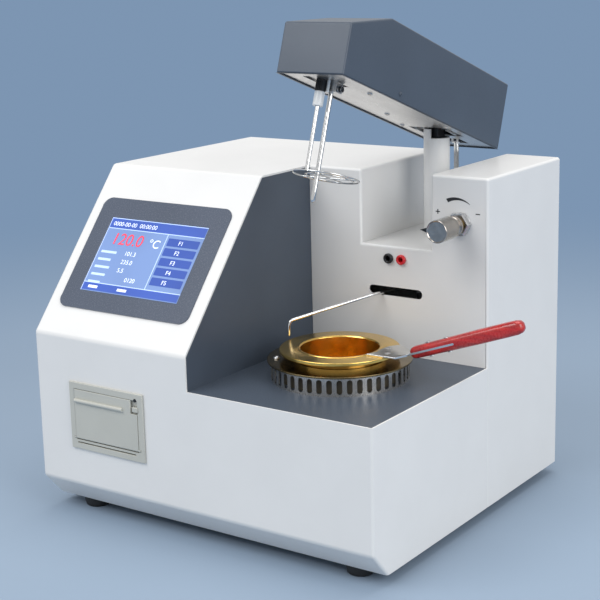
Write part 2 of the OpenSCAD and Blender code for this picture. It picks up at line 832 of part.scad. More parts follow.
// A slot with round ends, cut through the guard's wall
module guard_slot() {
    straight = guard_slot_h - guard_slot_w;
    reach = guard_t + 1;
    rotate([90, 0, 90]) translate([0, 0, -reach]) linear_extrude(2 * reach) {
        square([guard_slot_w, straight], center = true);
        for (s = [-1, 1]) translate([0, s * straight / 2]) circle(guard_slot_w / 2);
    }
}

module heater_plate() {
    color([0.62, 0.50, 0.30]) at_cup() translate([0, 0, plate_low]) difference() {
        cylinder(h = heater_plate_t, r = heater_plate_r);
        translate([0, 0, -1]) cylinder(h = heater_plate_t + 2, r = step_r + 0.6);
        translate([0, 0, -1]) plate_screw_places() cylinder(h = 10, r = 1.5 + gap);
    }
}

module heater_screws() {
    color("silver") at_cup() plate_screw_places() translate([0, 0, plate_top])
        screw_down(1.5, plate_top - deck_low + 6);
}

module heater_block() {
    color([0.55, 0.53, 0.50]) at_cup() rotate_extrude() polygon([
        [8, block_low], [heater_block_r, block_low], [heater_block_r, plate_low], [step_r + 1, plate_low],
        [step_r + 1, seat_z], [cup_wall_r + clear, seat_z], [cup_wall_r + clear, block_low + 5],
        [8, block_low + 5]
    ]);
}

module heater_band() {
    r = heater_block_r + gap;
    color([0.75, 0.68, 0.5]) at_cup() ring(r + band_t, r, block_low + 4, plate_low - 3);
}

module test_cup() {
    color([0.83, 0.62, 0.2]) at_cup() rotate_extrude($fn = 96) polygon([
        [0, cup_floor_z - cup_floor_t], [cup_wall_r - 1.5, cup_floor_z - cup_floor_t],
        [cup_wall_r, cup_floor_z - cup_floor_t + 1.5], [cup_wall_r, step_low], [step_r, step_low],
        [step_r, flange_low], [flange_r - 0.8, flange_low], [flange_r, flange_low + 0.8],
        [flange_r, cup_z - 0.6], [flange_r - 0.6, cup_z], [cup_bore_r + 2.4, cup_z],
        [cup_bore_r + 2, cup_z + rim_h], [cup_bore_r + 0.8, cup_z + rim_h], [cup_bore_r, cup_z - 0.4],
        [cup_bore_r, cup_floor_z + 2], [cup_bore_r - 2, cup_floor_z], [0, cup_floor_z]
    ]);
}

// Places pieces drawn along the handle, from the cup's middle
module along_handle() {
    at_cup() rotate(handle_angle) children();
}

// Places pieces drawn along the grip, from its inner end
module along_grip() {
    along_handle() translate([handle_start, 0, cup_z + tang_t / 2 + 0.02 + handle_up])
        rotate([0, -handle_pitch, 0]) children();
}

// Steel plate on the cup's flange, folded up into the grip
module cup_bracket() {
    color("silver") {
        along_handle() translate([0, 0, cup_z + 0.02]) difference() {
            linear_extrude(tang_t) polygon([
                [31, -15.5], [36, -7], [35, 0], [37, 8], [38, 12], [43, 18.5], [50, 16.5], [57, 9.5],
                [tang_bend, 6], [tang_bend + 1, 5.5], [tang_bend + 1, -5.5], [tang_bend, -7],
                [56, -16.5], [47, -16.5]
            ]);
            for (p = plate_rivets) translate([p[0], p[1], -1]) cylinder(h = 5, r = 1.5 + run);
        }
        along_grip() difference() {
            translate([-tang_back, -5, -tang_t / 2]) cube([tang_back + 35, 10, tang_t]);
            for (x = grip_rivets) translate([x, 0, -5]) cylinder(h = 10, r = 1.2 + run);
        }
        along_handle() translate([tang_bend, 0, cup_z + tang_t / 2 + 0.02]) rotate([90, 0, 0])
            translate([0, 0, -5]) cylinder(h = 10, r = tang_t / 2);
    }
}

module cup_handle() {
    color([0.72, 0.08, 0.08]) along_grip() difference() {
        union() {
            sphere(grip_r1);
            rotate([0, 90, 0]) cylinder(h = grip_l - grip_r2, r1 = grip_r1, r2 = grip_r2);
            translate([grip_l - grip_r2, 0, 0]) sphere(grip_r2);
        }
        translate([-10, -6, -tang_t / 2 - run]) cube([45 + gap, 12, tang_t + 2 * run]);
        for (x = grip_rivets) translate([x, 0, -10]) cylinder(h = 20, r = 1.2 + run);
    }
}

// Rivets with low heads on the plate, which the nozzle passes over, and two through the grip
module cup_rivets() {
    color("silver") {
        along_handle() for (p = plate_rivets) translate([p[0], p[1], cup_z + 0.04]) {
            cylinder(h = tang_t, r = 1.5);
            translate([0, 0, tang_t]) cylinder(h = 0.25, r1 = 2.6, r2 = 2.2);
        }
        along_grip() for (x = grip_rivets) translate([x, 0, 0]) {
            translate([0, 0, -grip_r1 - 0.3]) cylinder(h = 2 * grip_r1 + 0.6, r = 1.2);
            for (s = [-1, 1]) translate([0, 0, s * (grip_r1 + 0.6) - 0.35]) cylinder(h = 0.7, r = 2);
        }
    }
}

module lift_column() {
    color("white") in_cabinet() translate([head_x, column_y, 0]) difference() {
        cylinder(h = column_top_z, r = column_r);
        translate([0, 0, -1]) cylinder(h = column_low_z + 1, r = column_r + 1);
        cylinder(h = far, r = column_bore_r);
        translate([0.2, -20, column_cut_z]) cube([40, 40, 40]);
        translate([0, 0, hinge_z]) rod_x(hinge_pin_r + gap, -20, 20);
    }
}

module lift_nut() {
    color("goldenrod") in_cabinet() translate([head_x, column_y, 0]) {
        ring(column_bore_r - gap, screw_r + run, column_low_z, column_low_z + nut_l);
    }
}

module hinge_block() {
    low = column_cut_z - 12;
    color([0.2, 0.2, 0.22]) in_cabinet() translate([head_x, column_y, 0]) difference() {
        union() {
            translate([0, 0, low]) cylinder(h = 12, r = column_bore_r - gap);
            translate([-4.8, -5.3, column_cut_z - 0.1]) cube([9.6, 10.6, 14]);
            for (i = [-2:2]) translate([i * 2 - 0.6, -6, column_cut_z + 1]) cube([1.2, 1, 12]);
        }
        translate([0, 0, hinge_z]) rod_x(hinge_pin_r, -20, 20);
    }
}

module hinge_pin() {
    color("silver") in_cabinet() translate([head_x, column_y, hinge_z]) {
        rod_x(hinge_pin_r, -17, 17);
        for (s = [-1, 1]) rod_x(hinge_pin_r + 1.5, min(s * 17, s * 18), max(s * 17, s * 18));
    }
}

module slide_bushes() {
    color([0.85, 0.75, 0.45]) in_cabinet() translate([head_x, 0, 0]) {
        translate([0, column_y, 0]) bush(column_r + run, column_r + 4, column_r + 7.5);
        translate([0, rod_y, 0]) bush(rod_r + run, rod_r + 3, rod_r + 6);
    }
}

module bush(r_in, r_body, r_flange) {
    difference() {
        union() {
            translate([0, 0, bush_top - bush_l]) cylinder(h = bush_l, r = r_body);
            translate([0, 0, bush_top - 2.5]) cylinder(h = 2.5, r = r_flange);
        }
        translate([0, 0, bush_top - bush_l - 1]) cylinder(h = bush_l + 2, r = r_in);
    }
}

module guide_rod() {
    color("silver") in_cabinet() translate([head_x, rod_y, 0]) {
        translate([0, 0, rod_low_z]) cylinder(h = clevis_z - 7 - rod_low_z, r = rod_r);
        translate([0, 0, clevis_z - 5.2]) cylinder(h = 0.8, r = 3.9);
        translate([0, 0, clevis_z - 7.1]) cylinder(h = 2, r = rod_r);
    }
}

module rod_clevis() {
    color("gray") in_cabinet() translate([head_x, rod_y, clevis_z]) difference() {
        translate([-clevis_half, -3, -4.4]) cube([2 * clevis_half, 6, 7.4]);
        translate([-tongue_t / 2 - clear, -5, -3.8]) cube([tongue_t + 2 * clear, 10, 20]);
        rod_x(clevis_pin_r, -10, 10);
    }
}

module clevis_pin() {
    color("silver") in_cabinet() translate([head_x, rod_y, clevis_z]) {
        rod_x(clevis_pin_r, -clevis_half - 0.8, clevis_half + 0.8);
    }
}

// Outline of the head from the side: Y towards the back, Z up
function head_outer() = [
    [-head_l, 0], [-head_l, head_front_h], [-head_l + head_slope_l, head_h], [0, head_h], [0, 0]
];
head_slope_a = atan2(head_h - head_front_h, head_slope_l);
function head_inner() = [
    [-head_l + head_sheet, -1], [-head_l + head_sheet, head_front_h - head_sheet * tan(head_slope_a / 2)],
    [-head_l + head_slope_l + head_sheet * tan(head_slope_a / 2), head_h - head_sheet],
    [-head_sheet, head_h - head_sheet], [-head_sheet, -1]
];

module head_cover() {
    color([0.30, 0.36, 0.43]) in_head() difference() {
        side_prism(-head_w / 2, head_w / 2, head_outer());
        side_prism(-head_w / 2 + head_sheet, head_w / 2 - head_sheet, head_inner());
        translate([0, side_screw_y, 6]) rod_x(1.2, -40, 40);
    }
}

plate_up = 1;
plate_top_up = plate_up + head_sheet;
side_screw_y = -177.5;
connector_low = -7;

module head_base_plate() {
    w = head_w - 2 * head_sheet - 2 * gap;
    color([0.62, 0.62, 0.62]) in_head() difference() {
        union() {
            translate([-w / 2, -head_l + head_sheet + gap, plate_up])
                cube([w, head_l - 2 * head_sheet - 2 * gap, head_sheet]);
            for (x = [-w / 2, w / 2 - head_sheet]) translate([x, -head_l + 20, plate_up])
                cube([head_sheet, head_l - 40, 10]);
        }
        translate([0, side_screw_y, 6]) rod_x(1.2, -40, 40);
        translate([-14, -249, -1]) cube([22, 32, 10]);
        translate([-18.6, -hinge_back - 16, -1]) cube([37.2, 32, 10]);
        translate([-8, -clevis_back - 9, -1]) cube([16, 18, 10]);
        head_screw_places() translate([0, 0, -5]) cylinder(h = 20, r = 1.5 + gap);
    }
}

module head_screw_places() {
    translate([15.5, -197.9, 0]) children();
    translate([-11.9, -124.4, 0]) children();
    translate([-21.6, -82, 0]) children();
    translate([21.6, -82, 0]) children();
}

module head_screws() {
    color("silver") in_head() {
        head_screw_places() translate([0, 0, plate_up]) rotate([180, 0, 0]) screw_down(1.2, 4);
        for (s = [-1, 1]) translate([s * head_w / 2, side_screw_y, 6]) rotate([0, s * 90, 0])
            screw_down(1, 3);
    }
}

module head_brackets() {
    color([0.8, 0.8, 0.78]) in_head() {
        // Ears on the hinge pin
        for (s = [-1, 1]) difference() {
            union() {
                translate([s * 15 - 1, -hinge_back - 9, 0.2]) cube([2, 18, 15]);
                translate([s > 0 ? 14 : -25, -hinge_back - 15.9, plate_top_up]) cube([11, 31.8, 1.5]);
            }
            translate([0, -hinge_back, hinge_up]) rod_x(hinge_pin_r + run, -30, 30);
            translate([s > 0 ? 12 : -14, -hinge_back - 20, -1]) cube([2, 40, 3.5]);
            translate([s * 17.5, -hinge_back, hinge_up]) rod_x(hinge_pin_r + 1.5 + clear, -1, 1);
        }
        // Tongue in the rod's clevis, with a slot for its pin
        difference() {
            union() {
                translate([-tongue_t / 2, -clevis_back - 9.5, clevis_up - 2.3]) cube([tongue_t, 19, 13.7]);
                translate([-22, -clevis_back - 12, clevis_up + 11]) cube([44, 24, 1.5]);
                for (s = [-1, 1]) translate([s * 21 - 1, -clevis_back - 12, plate_top_up])
                    cube([2, 24, clevis_up + 12 - plate_top_up]);
            }
            clevis_slot();
        }
    }
}

module clevis_slot() {
    a0 = min(clevis_back, clevis_back_low) - 0.2;
    a1 = max(clevis_back, clevis_back_low) + 0.2;
    r = clevis_pin_r + 0.25;
    for (a = [a0, a1]) translate([0, -a, clevis_up]) rod_x(r, -5, 5);
    translate([-5, -a1, clevis_up - r]) cube([10, a1 - a0, 2 * r]);
}

module temperature_probe() {
    color("silver") in_head() translate([probe_x, -probe_back, 0]) {
        translate([0, 0, -probe_drop + probe_r]) cylinder(h = probe_drop + 16, r = probe_r);
        translate([0, 0, -probe_drop + probe_r]) sphere(probe_r);
        translate([0, 0, 13]) cylinder(h = 16, r = 4);
    }
}

// Plate over the base plate's opening, with a clamp and its thumb screw
module probe_clamp() {
    color([0.7, 0.7, 0.68]) in_head() difference() {
        union() {
            translate([-27, -254, plate_top_up]) cube([53, 42, 2]);
            translate([probe_x - 7, -probe_back - 4.5, -5.5]) cube([14, 9, plate_top_up + 5.6]);
        }
        translate([probe_x, -probe_back, -10]) cylinder(h = 30, r = probe_r + run);
        translate([cup_x - head_x, -ring_back - ring_r, -10]) cylinder(h = 30, r = ring_rod_r + run);
    }
    color("gray") in_head() translate([probe_x + 7, -probe_back, -2.5]) rod_x(2.4, 0.02, 3);
}

module flash_ring() {
    color("silver") in_head() translate([cup_x - head_x, -ring_back, -ring_drop]) {
        rotate_extrude() translate([ring_r, 0]) square([1.6, ring_wire], center = true);
        translate([0, 6, 0]) rotate_extrude() translate([ring_r - 7.5, 0])
            square([1.6, ring_wire], center = true);
        translate([0, -ring_r, -ring_wire / 2]) cylinder(h = ring_drop + 10, r = ring_rod_r);
        translate([-0.7, -ring_r, -ring_wire / 2]) cube([1.4, 2 * ring_r, ring_wire]);
        translate([-ring_r + 1, -0.7 + 6, -ring_wire / 2]) cube([2 * ring_r - 2, 1.4, ring_wire]);
    }
}

// Sleeve on the ring's rod, and a small one for its lead
module ring_insulator() {
    color("white") in_head() translate([cup_x - head_x, -ring_back - ring_r, 0]) {
        ring(4, ring_rod_r + run, -18.5, connector_low);
        translate([4.6, 3.2, -6.5]) cylinder(h = plate_top_up + 6.5, r = 1.2);
    }
}

module connector_block() {
    color([0.12, 0.12, 0.13]) in_head() translate([cup_x - head_x, -ring_back - ring_r, 0]) difference() {
        union() {
            translate([-3, -3, connector_low]) cube([6, 6, plate_top_up - connector_low]);
            for (i = [0:3]) translate([-2.7 + i * 1.5, -3.6, connector_low + 0.5]) cube([0.9, 1, 7]);
        }
        translate([0, 0, -20]) cylinder(h = 40, r = ring_rod_r + run);
    }
}

module flame_frame() {
    in_cabinet() translate([flame_x, flame_y, 0]) rotate(-90 - flame_angle) children();
}

// The tube runs level through the slot, bends, slopes down to its elbow and drops to the nozzle
module flame_tube() {
    color("silver") flame_frame() difference() {
        union() {
            rotate(hub_turn) bent_tube([[tube_start, flame_z], [norm([bend_along, bend_side]), flame_z]]);
            translate([bend_along, bend_side, 0]) rotate(nose_turn) bent_tube([
                [0, flame_z], [nose_l - 3, nozzle_top], [nose_l - 0.9, nozzle_top - 1],
                [nose_l, nozzle_top - 3.2]
            ]);
            translate([flame_reach, 0, nozzle_z]) cylinder(h = nozzle_top - 3.2 - nozzle_z, r = flame_r);
        }
        translate([flame_reach, 0, nozzle_z - 1]) cylinder(h = 7, r = 0.7);
    }
}

// Tube in the XZ plane through points, with a ball at each
module bent_tube(points) {
    for (p = points) translate([p[0], 0, p[1]]) sphere(ball_r);
    for (i = [0:len(points) - 2]) {
        step = points[i + 1] - points[i];
        translate([points[i][0], 0, points[i][1]]) rotate([0, atan2(step[0], step[1]), 0])
            cylinder(h = norm(step), r = flame_r);
    }
}

module tube_hub() {
    color([0.7, 0.7, 0.72]) flame_frame() difference() {
        translate([0, 0, flame_z - 6]) cylinder(h = 11, r = 6);
        translate([0, 0, flame_z]) rotate(hub_turn) rod_x(ball_r, tube_start - ball_r, 20);
        translate([0, 0, flame_z - 8]) cylinder(h = 8, r = 2.5 + run);
    }
}

module sweep_motor() {
    color([0.6, 0.6, 0.62]) in_cabinet() {
        translate([flame_x, flame_y - sweep_offset, sweep_top - 32]) cylinder(h = 32, r = sweep_motor_r);
        translate([flame_x, flame_y, sweep_top - 1]) cylinder(h = flame_z - 1 - sweep_top, r = 2.5);
    }
}

module motor_bracket() {
    color("silver") in_cabinet() difference() {
        union() {
            translate([flame_x - 24, wall_y + sheet + gap, sweep_top + 0.02]) cube([48, 50, sheet]);
            translate([flame_x - 24, wall_y + sheet + gap, sweep_top + 0.02]) cube([48, sheet, 14]);
        }
        translate([flame_x, flame_y, sweep_top - 1]) cylinder(h = 5, r = 4);
    }
}

module lift_motor() {
    m = lift_motor_w;
    color([0.25, 0.25, 0.27]) in_cabinet() translate([head_x, column_y, 0]) {
        translate([-m / 2, -m / 2, sheet]) cube([m, m, lift_motor_h]);
        translate([0, 0, motor_top - 0.1]) cylinder(h = 12, r = 2.5);
    }
}

module lift_screw() {
    color("silver") in_cabinet() translate([head_x, column_y, 0]) difference() {
        union() {
            translate([0, 0, screw_low_z]) cylinder(h = screw_top_z - screw_low_z, r = screw_r);
            translate([0, 0, screw_low_z]) cylinder(h = coupler_h, r = coupler_r);
        }
        translate([0, 0, screw_low_z - 1]) cylinder(h = 12, r = 2.5 + run);
        translate([0, 0, screw_low_z + 4]) rod_x(1, 3, 20);
    }
}

module control_board() {
    color([0.1, 0.4, 0.2]) in_cabinet() difference() {
        union() {
            translate([18, 70, 12]) cube([130, 110, 1.6]);
            translate([28, 80, 13.5]) cube([26, 18, 16]);
            translate([60, 80, 13.5]) cube([26, 18, 16]);
            translate([100, 85, 13.5]) cube([36, 22, 26]);
            translate([50, 125, 13.5]) cube([22, 22, 3]);
            translate([90, 130, 13.5]) cylinder(h = 22, r = 8);
            translate([115, 130, 13.5]) cylinder(h = 22, r = 8);
            for (i = [0:4]) translate([28 + i * 22, 168, 13.5]) cube([16, 8, 9]);
            for (x = [24, 142], y = [76, 174]) translate([x, y, sheet]) cylinder(h = 10.6, r = 3, $fn = 6);
        }
        for (x = [24, 142], y = [76, 174]) translate([x, y, 0]) cylinder(h = 20, r = 1.5);
    }
}

module power_supply() {
    color([0.75, 0.76, 0.78]) in_cabinet() difference() {
        translate([110, 200, sheet]) cube([90, 96, 38]);
        for (i = [0:7], j = [0:3]) translate([122 + i * 9, 212 + j * 12, sheet + 35]) cylinder(h = 5, r = 2);
    }
}

module power_inlet() {
    x0 = inlet_x - inlet_w / 2;
    color([0.1, 0.1, 0.1]) in_cabinet() difference() {
        union() {
            translate([x0, body_d + gap, inlet_z]) cube([inlet_w, 2.5, inlet_h]);
            translate([x0 + 2, body_d - 24, inlet_z + 2]) cube([inlet_w - 4, 24 + 1, inlet_h - 4]);
        }
        translate([inlet_x - 10.5, body_d - 17, inlet_z + 5]) cube([21, 40, 16]);
        translate([inlet_x - 6.4, body_d - 8, rocker_z - 10.4]) cube([12.8, 40, 20.8]);
        translate([0, body_d - 3, rocker_z]) rod_x(1.5 + run, inlet_x - 8.5, inlet_x + 8.5);
    }
    color("silver") in_cabinet() for (p = [[-6, 0], [6, 0], [0, 4]])
        translate([inlet_x + p[0] - 1, body_d - 17.5, inlet_z + 11 + p[1]]) cube([2, 13, 4]);
}

module power_switch() {
    color([0.15, 0.15, 0.15]) in_cabinet() translate([0, body_d - 3, rocker_z]) {
        rod_x(1.5, inlet_x - 8, inlet_x + 8);
        translate([inlet_x - 6, 0, 0]) rotate([90, 0, 90]) linear_extrude(12)
            polygon([[-3, -6], [-3, 6], [3, 9.3], [7, 8.6], [4.6, 0], [5.4, -9.4], [3, -9.3]]);
    }
}

module fan_frame() {
    y0 = panel_y - gap - fan_t;
    color([0.12, 0.12, 0.13]) in_cabinet() translate([fan_x, y0, fan_z]) {
        difference() {
            translate([-fan_w / 2, 0, -fan_w / 2]) cube([fan_w, fan_t, fan_w]);
            rod_y_axis(fan_ring_r, -1, fan_t + 1);
            for (x = [-1, 1], z = [-1, 1]) translate([x * (fan_w / 2 - 5), 0, z * (fan_w / 2 - 5)])
                rod_y_axis(2, -1, fan_t + 1);
        }
        difference() {
            union() {
                rod_y_axis(fan_hub_r, 0, 3);
                for (a = [45:90:315]) rotate([0, a, 0]) translate([0, 0, -2]) cube([fan_ring_r + 1, 3, 4]);
                rod_y_axis(2, 0, fan_t - 5);
            }
        }
    }
}

module fan_rotor() {
    y0 = panel_y - gap - fan_t;
    color([0.2, 0.2, 0.22]) in_cabinet() translate([fan_x, y0, fan_z]) difference() {
        union() {
            rod_y_axis(fan_hub_r, 4, fan_t - 2);
            intersection() {
                for (i = [0:6]) rotate([0, i * 360 / 7, 0]) translate([10, fan_t / 2 + 1, 0])
                    rotate([35, 0, 0]) translate([0, -0.6, -8]) cube([fan_ring_r - 11.5, 1.2, 16]);
                rod_y_axis(fan_ring_r - 1.2, 4, fan_t - 2);
            }
        }
        rod_y_axis(2 + run, -1, fan_t - 4);
    }
}

base_tray();
console_shell();
deck_shell();
tower_shell();
bay_liner();
rear_panel();
cabinet_screws();
rubber_feet();
screen_bezel();
touch_screen();
printer_frame();
printer_door();
feed_button();
printer_lamp();
platen_roller();
paper_roll();
valve_body();
valve_nut();
valve_knob();
knob_pointer();
black_socket();
red_socket();
heater_guard();
heater_plate();
heater_screws();
heater_block();
heater_band();
test_cup();
cup_bracket();
cup_handle();
cup_rivets();
lift_column();
lift_nut();
hinge_block();
hinge_pin();
slide_bushes();
guide_rod();
rod_clevis();
clevis_pin();
head_cover();
head_base_plate();
head_screws();
head_brackets();
temperature_probe();
probe_clamp();
flash_ring();
ring_insulator();
connector_block();
flame_tube();
tube_hub();
sweep_motor();
motor_bracket();
lift_motor();
lift_screw();
control_board();
power_supply();
power_inlet();
power_switch();
fan_frame();
fan_rotor();
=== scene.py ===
import math

import bmesh
import bpy
from mathutils import Euler, Matrix, Vector


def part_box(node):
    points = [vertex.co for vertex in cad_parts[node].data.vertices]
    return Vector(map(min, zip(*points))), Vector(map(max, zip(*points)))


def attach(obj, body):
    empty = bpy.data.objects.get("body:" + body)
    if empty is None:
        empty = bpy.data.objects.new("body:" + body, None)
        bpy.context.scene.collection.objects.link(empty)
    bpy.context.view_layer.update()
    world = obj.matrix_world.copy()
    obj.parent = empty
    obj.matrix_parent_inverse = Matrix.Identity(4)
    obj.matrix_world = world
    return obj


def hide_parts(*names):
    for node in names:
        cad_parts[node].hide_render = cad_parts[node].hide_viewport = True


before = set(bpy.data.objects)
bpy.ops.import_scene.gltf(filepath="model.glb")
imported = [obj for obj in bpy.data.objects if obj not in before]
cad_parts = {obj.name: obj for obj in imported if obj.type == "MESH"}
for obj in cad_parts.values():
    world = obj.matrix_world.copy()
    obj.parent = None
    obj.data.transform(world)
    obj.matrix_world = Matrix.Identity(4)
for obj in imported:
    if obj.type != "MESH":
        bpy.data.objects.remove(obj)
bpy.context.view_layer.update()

# Sizes in millimetres, from the cabinet's lower left front corner, as the solids have them
MM = 0.001
WALL_Y = 177.0
LIP_Z = 149.3
SLOPE = math.atan2(277.0 - LIP_Z, 107.7)
CUP = (243.0, 98.5)
CUP_RIM_Z = 145.4
HEAD_X, COLUMN_Y, HINGE_Z = 248.85, 246.0, 306.0
HINGE_BACK, HINGE_UP = 60.5, 4.9
HEAD_TILT = math.radians(19.15)
RING_BACK, RING_DROP, RING_R = 208.0, 68.0, 26.5
PROBE_BACK, PROBE_X, PROBE_DROP, PROBE_R = 223.7, -3.0, 91.0, 1.9
VALVE = (309.8, 238.5)
FLAME_PIVOT, FLAME_ANGLE, FLAME_Z = (248.0, 217.5), math.radians(25.3), 173.0
FLAME_BEND, FLAME_REACH, NOZZLE_Z, NOZZLE_TOP = (52.15, 6.98), 130.4, 147.6, 160.1
HANDLE_ANGLE, HANDLE_PITCH, HANDLE_START = math.radians(6.5), math.radians(19), 67.4
GRIP_RISE = 3.22
SOCKETS_Z, ROD_Y = 203.2, 281
CABINET_BEND, BROAD_FACE, LONG_EDGE = 2.4, 900, 18

cabinet_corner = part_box("console_shell")[0]
TO_CABINET = Matrix.Translation(cabinet_corner) @ Matrix.Scale(MM, 4)


def from_cabinet(x, y, z):
    """A place in the cabinet's own millimetres."""
    return TO_CABINET @ Matrix.Translation((x, y, z))


ON_SLOPE = from_cabinet(0, 0, LIP_Z) @ Matrix.Rotation(SLOPE, 4, "X")
IN_HEAD = (from_cabinet(HEAD_X, COLUMN_Y, HINGE_Z) @ Matrix.Rotation(-HEAD_TILT, 4, "X")
           @ Matrix.Translation((0, HINGE_BACK, -HINGE_UP)))
AT_CUP = from_cabinet(CUP[0], CUP[1], 0)
FLAME_ARM = from_cabinet(*FLAME_PIVOT, 0) @ Matrix.Rotation(-math.pi / 2 - FLAME_ANGLE, 4, "Z")
ALONG_GRIP = (AT_CUP @ Matrix.Rotation(HANDLE_ANGLE, 4, "Z")
              @ Matrix.Translation((HANDLE_START, 0, CUP_RIM_Z + GRIP_RISE))
              @ Matrix.Rotation(-HANDLE_PITCH, 4, "Y"))
OUT_OF_WALL = Matrix.Rotation(math.pi / 2, 4, "X")


# Finishes

def new_finish(name):
    skin = bpy.data.materials.new(name)
    skin.use_nodes = True
    nodes, links = skin.node_tree.nodes, skin.node_tree.links
    shader = nodes["Principled BSDF"]
    place = nodes.new("ShaderNodeTexCoord")
    return skin, nodes, links, shader, place.outputs["Object"]


def cloud(nodes, links, where, scale, detail=4.0, stretch=None):
    """A noise on the piece's own place, in millimetres across one patch."""
    if stretch:
        mapping = nodes.new("ShaderNodeMapping")
        mapping.inputs["Scale"].default_value = stretch
        links.new(where, mapping.inputs["Vector"])
        where = mapping.outputs["Vector"]
    noise = nodes.new("ShaderNodeTexNoise")
    noise.inputs["Scale"].default_value = 1000.0 / scale
    noise.inputs["Detail"].default_value = detail
    links.new(where, noise.inputs["Vector"])
    return noise.outputs["Fac"]


def two_tone(nodes, links, factor, light, dark, low=0.35, high=0.65):
    ramp = nodes.new("ShaderNodeValToRGB")
    ramp.color_ramp.elements[0].position = low
    ramp.color_ramp.elements[1].position = high
    ramp.color_ramp.elements[0].color = (*dark, 1)
    ramp.color_ramp.elements[1].color = (*light, 1)
    links.new(factor, ramp.inputs["Fac"])
    return ramp.outputs["Color"]


def spread(nodes, links, factor, low, high):
    fit = nodes.new("ShaderNodeMapRange")
    fit.inputs["From Min"].default_value = 0.3
    fit.inputs["From Max"].default_value = 0.7
    fit.inputs["To Min"].default_value = low
    fit.inputs["To Max"].default_value = high
    links.new(factor, fit.inputs["Value"])
    return fit.outputs["Result"]


def relief(nodes, links, shader, height, depth):
    bump = nodes.new("ShaderNodeBump")
    bump.inputs["Strength"].default_value = 1.0
    bump.inputs["Distance"].default_value = depth * MM
    links.new(height, bump.inputs["Height"])
    links.new(bump.outputs["Normal"], shader.inputs["Normal"])


def coating(name, colour, rough, change=0.04, grain=1.1, depth=0.02, coat=0.0, metal=0.0,
            stretch=None, patch=45.0):
    """A finish with patches of slightly different colour and gloss, and a fine grain."""
    skin, nodes, links, shader, where = new_finish(name)
    patches = cloud(nodes, links, where, patch, 3.0, stretch)
    light = tuple(min(1.0, c * (1 + change)) for c in colour)
    dark = tuple(c * (1 - change) for c in colour)
    links.new(two_tone(nodes, links, patches, light, dark), shader.inputs["Base Color"])
    fine = cloud(nodes, links, where, grain, 2.0, stretch)
    links.new(spread(nodes, links, fine, rough * 0.9, min(1.0, rough * 1.12)), shader.inputs["Roughness"])
    if depth:
        relief(nodes, links, shader, fine, depth)
    shader.inputs["Metallic"].default_value = metal
    if coat:
        shader.inputs["Coat Weight"].default_value = coat
        shader.inputs["Coat Roughness"].default_value = 0.12
    return skin


def turned_metal(name, colour, rough, centre, step=0.35, depth=0.012, axis="Z", change=0.10):
    """Bare metal with the fine rings that a lathe leaves round an axis."""
    skin, nodes, links, shader, where = new_finish(name)
    mapping = nodes.new("ShaderNodeMapping")
    mapping.vector_type = "POINT"
    mapping.inputs["Location"].default_value = tuple(-c for c in centre)
    links.new(where, mapping.inputs["Vector"])
    rings = nodes.new("ShaderNodeTexWave")
    rings.wave_type = "RINGS"
    rings.rings_direction = axis
    rings.inputs["Scale"].default_value = 1.0 / (step * MM * 6.28)
    rings.inputs["Distortion"].default_value = 1.5
    rings.inputs["Detail"].default_value = 2.0
    links.new(mapping.outputs["Vector"], rings.inputs["Vector"])
    patches = cloud(nodes, links, where, 14.0, 4.0)
    links.new(two_tone(nodes, links, patches, tuple(min(1, c * (1 + change)) for c in colour),
                       tuple(c * (1 - change) for c in colour)), shader.inputs["Base Color"])
    links.new(spread(nodes, links, patches, rough * 0.8, rough * 1.3), shader.inputs["Roughness"])
    relief(nodes, links, shader, rings.outputs["Fac"], depth)
    shader.inputs["Metallic"].default_value = 1.0
    shader.inputs["Anisotropic"].default_value = 0.4
    return skin


def glow(name, colour, strength):
    skin, nodes, links, shader, where = new_finish(name)
    patches = cloud(nodes, links, where, 60.0, 1.0)
    light = tuple(min(1, c * 1.06) for c in colour)
    dark = tuple(c * 0.92 for c in colour)
    tone = two_tone(nodes, links, patches, light, dark)
    links.new(tone, shader.inputs["Base Color"])
    links.new(tone, shader.inputs["Emission Color"])
    shader.inputs["Emission Strength"].default_value = strength
    shader.inputs["Roughness"].default_value = 0.3
    return skin


cup_axis = tuple(AT_CUP.translation)
valve_axis = tuple(from_cabinet(VALVE[0], 0, VALVE[1]).translation)

WHITE = coating("white_enamel", (0.79, 0.785, 0.77), 0.38, 0.012, 1.4, 0.012, coat=0.15)
SLATE = coating("slate_enamel", (0.062, 0.080, 0.108), 0.42, 0.05, 1.2, 0.02)
HEAD_BLUE = coating("head_enamel", (0.062, 0.082, 0.112), 0.40, 0.04, 1.3, 0.014, coat=0.1)
ZINC = coating("zinc_sheet", (0.56, 0.57, 0.58), 0.36, 0.10, 6.0, 0.01, metal=1.0, patch=9.0)
BRUSHED = coating("brushed_sheet", (0.62, 0.61, 0.60), 0.30, 0.08, 1.5, 0.012, metal=1.0,
                  stretch=(1, 0.06, 1), patch=20.0)
GUARD_STEEL = coating("guard_steel", (0.60, 0.58, 0.55), 0.27, 0.14, 1.6, 0.015, metal=1.0,
                      stretch=(1, 1, 0.1), patch=14.0)
BRIGHT = coating("bright_steel", (0.74, 0.74, 0.73), 0.14, 0.06, 3.0, 0.004, metal=1.0, patch=12.0)
SCREW_STEEL = coating("screw_steel", (0.60, 0.60, 0.60), 0.28, 0.10, 2.0, 0.01, metal=1.0, patch=5.0)
KNOB_STEEL = coating("knob_steel", (0.46, 0.42, 0.38), 0.22, 0.10, 2.0, 0.006, metal=1.0, patch=6.0)
KNURL = coating("knurled_nickel", (0.66, 0.65, 0.62), 0.26, 0.10, 0.8, 0.01, metal=1.0, patch=4.0)
RUBBER = coating("black_rubber", (0.018, 0.019, 0.020), 0.62, 0.25, 0.8, 0.03)
BLACK = coating("black_moulding", (0.014, 0.014, 0.016), 0.30, 0.2, 1.0, 0.008)
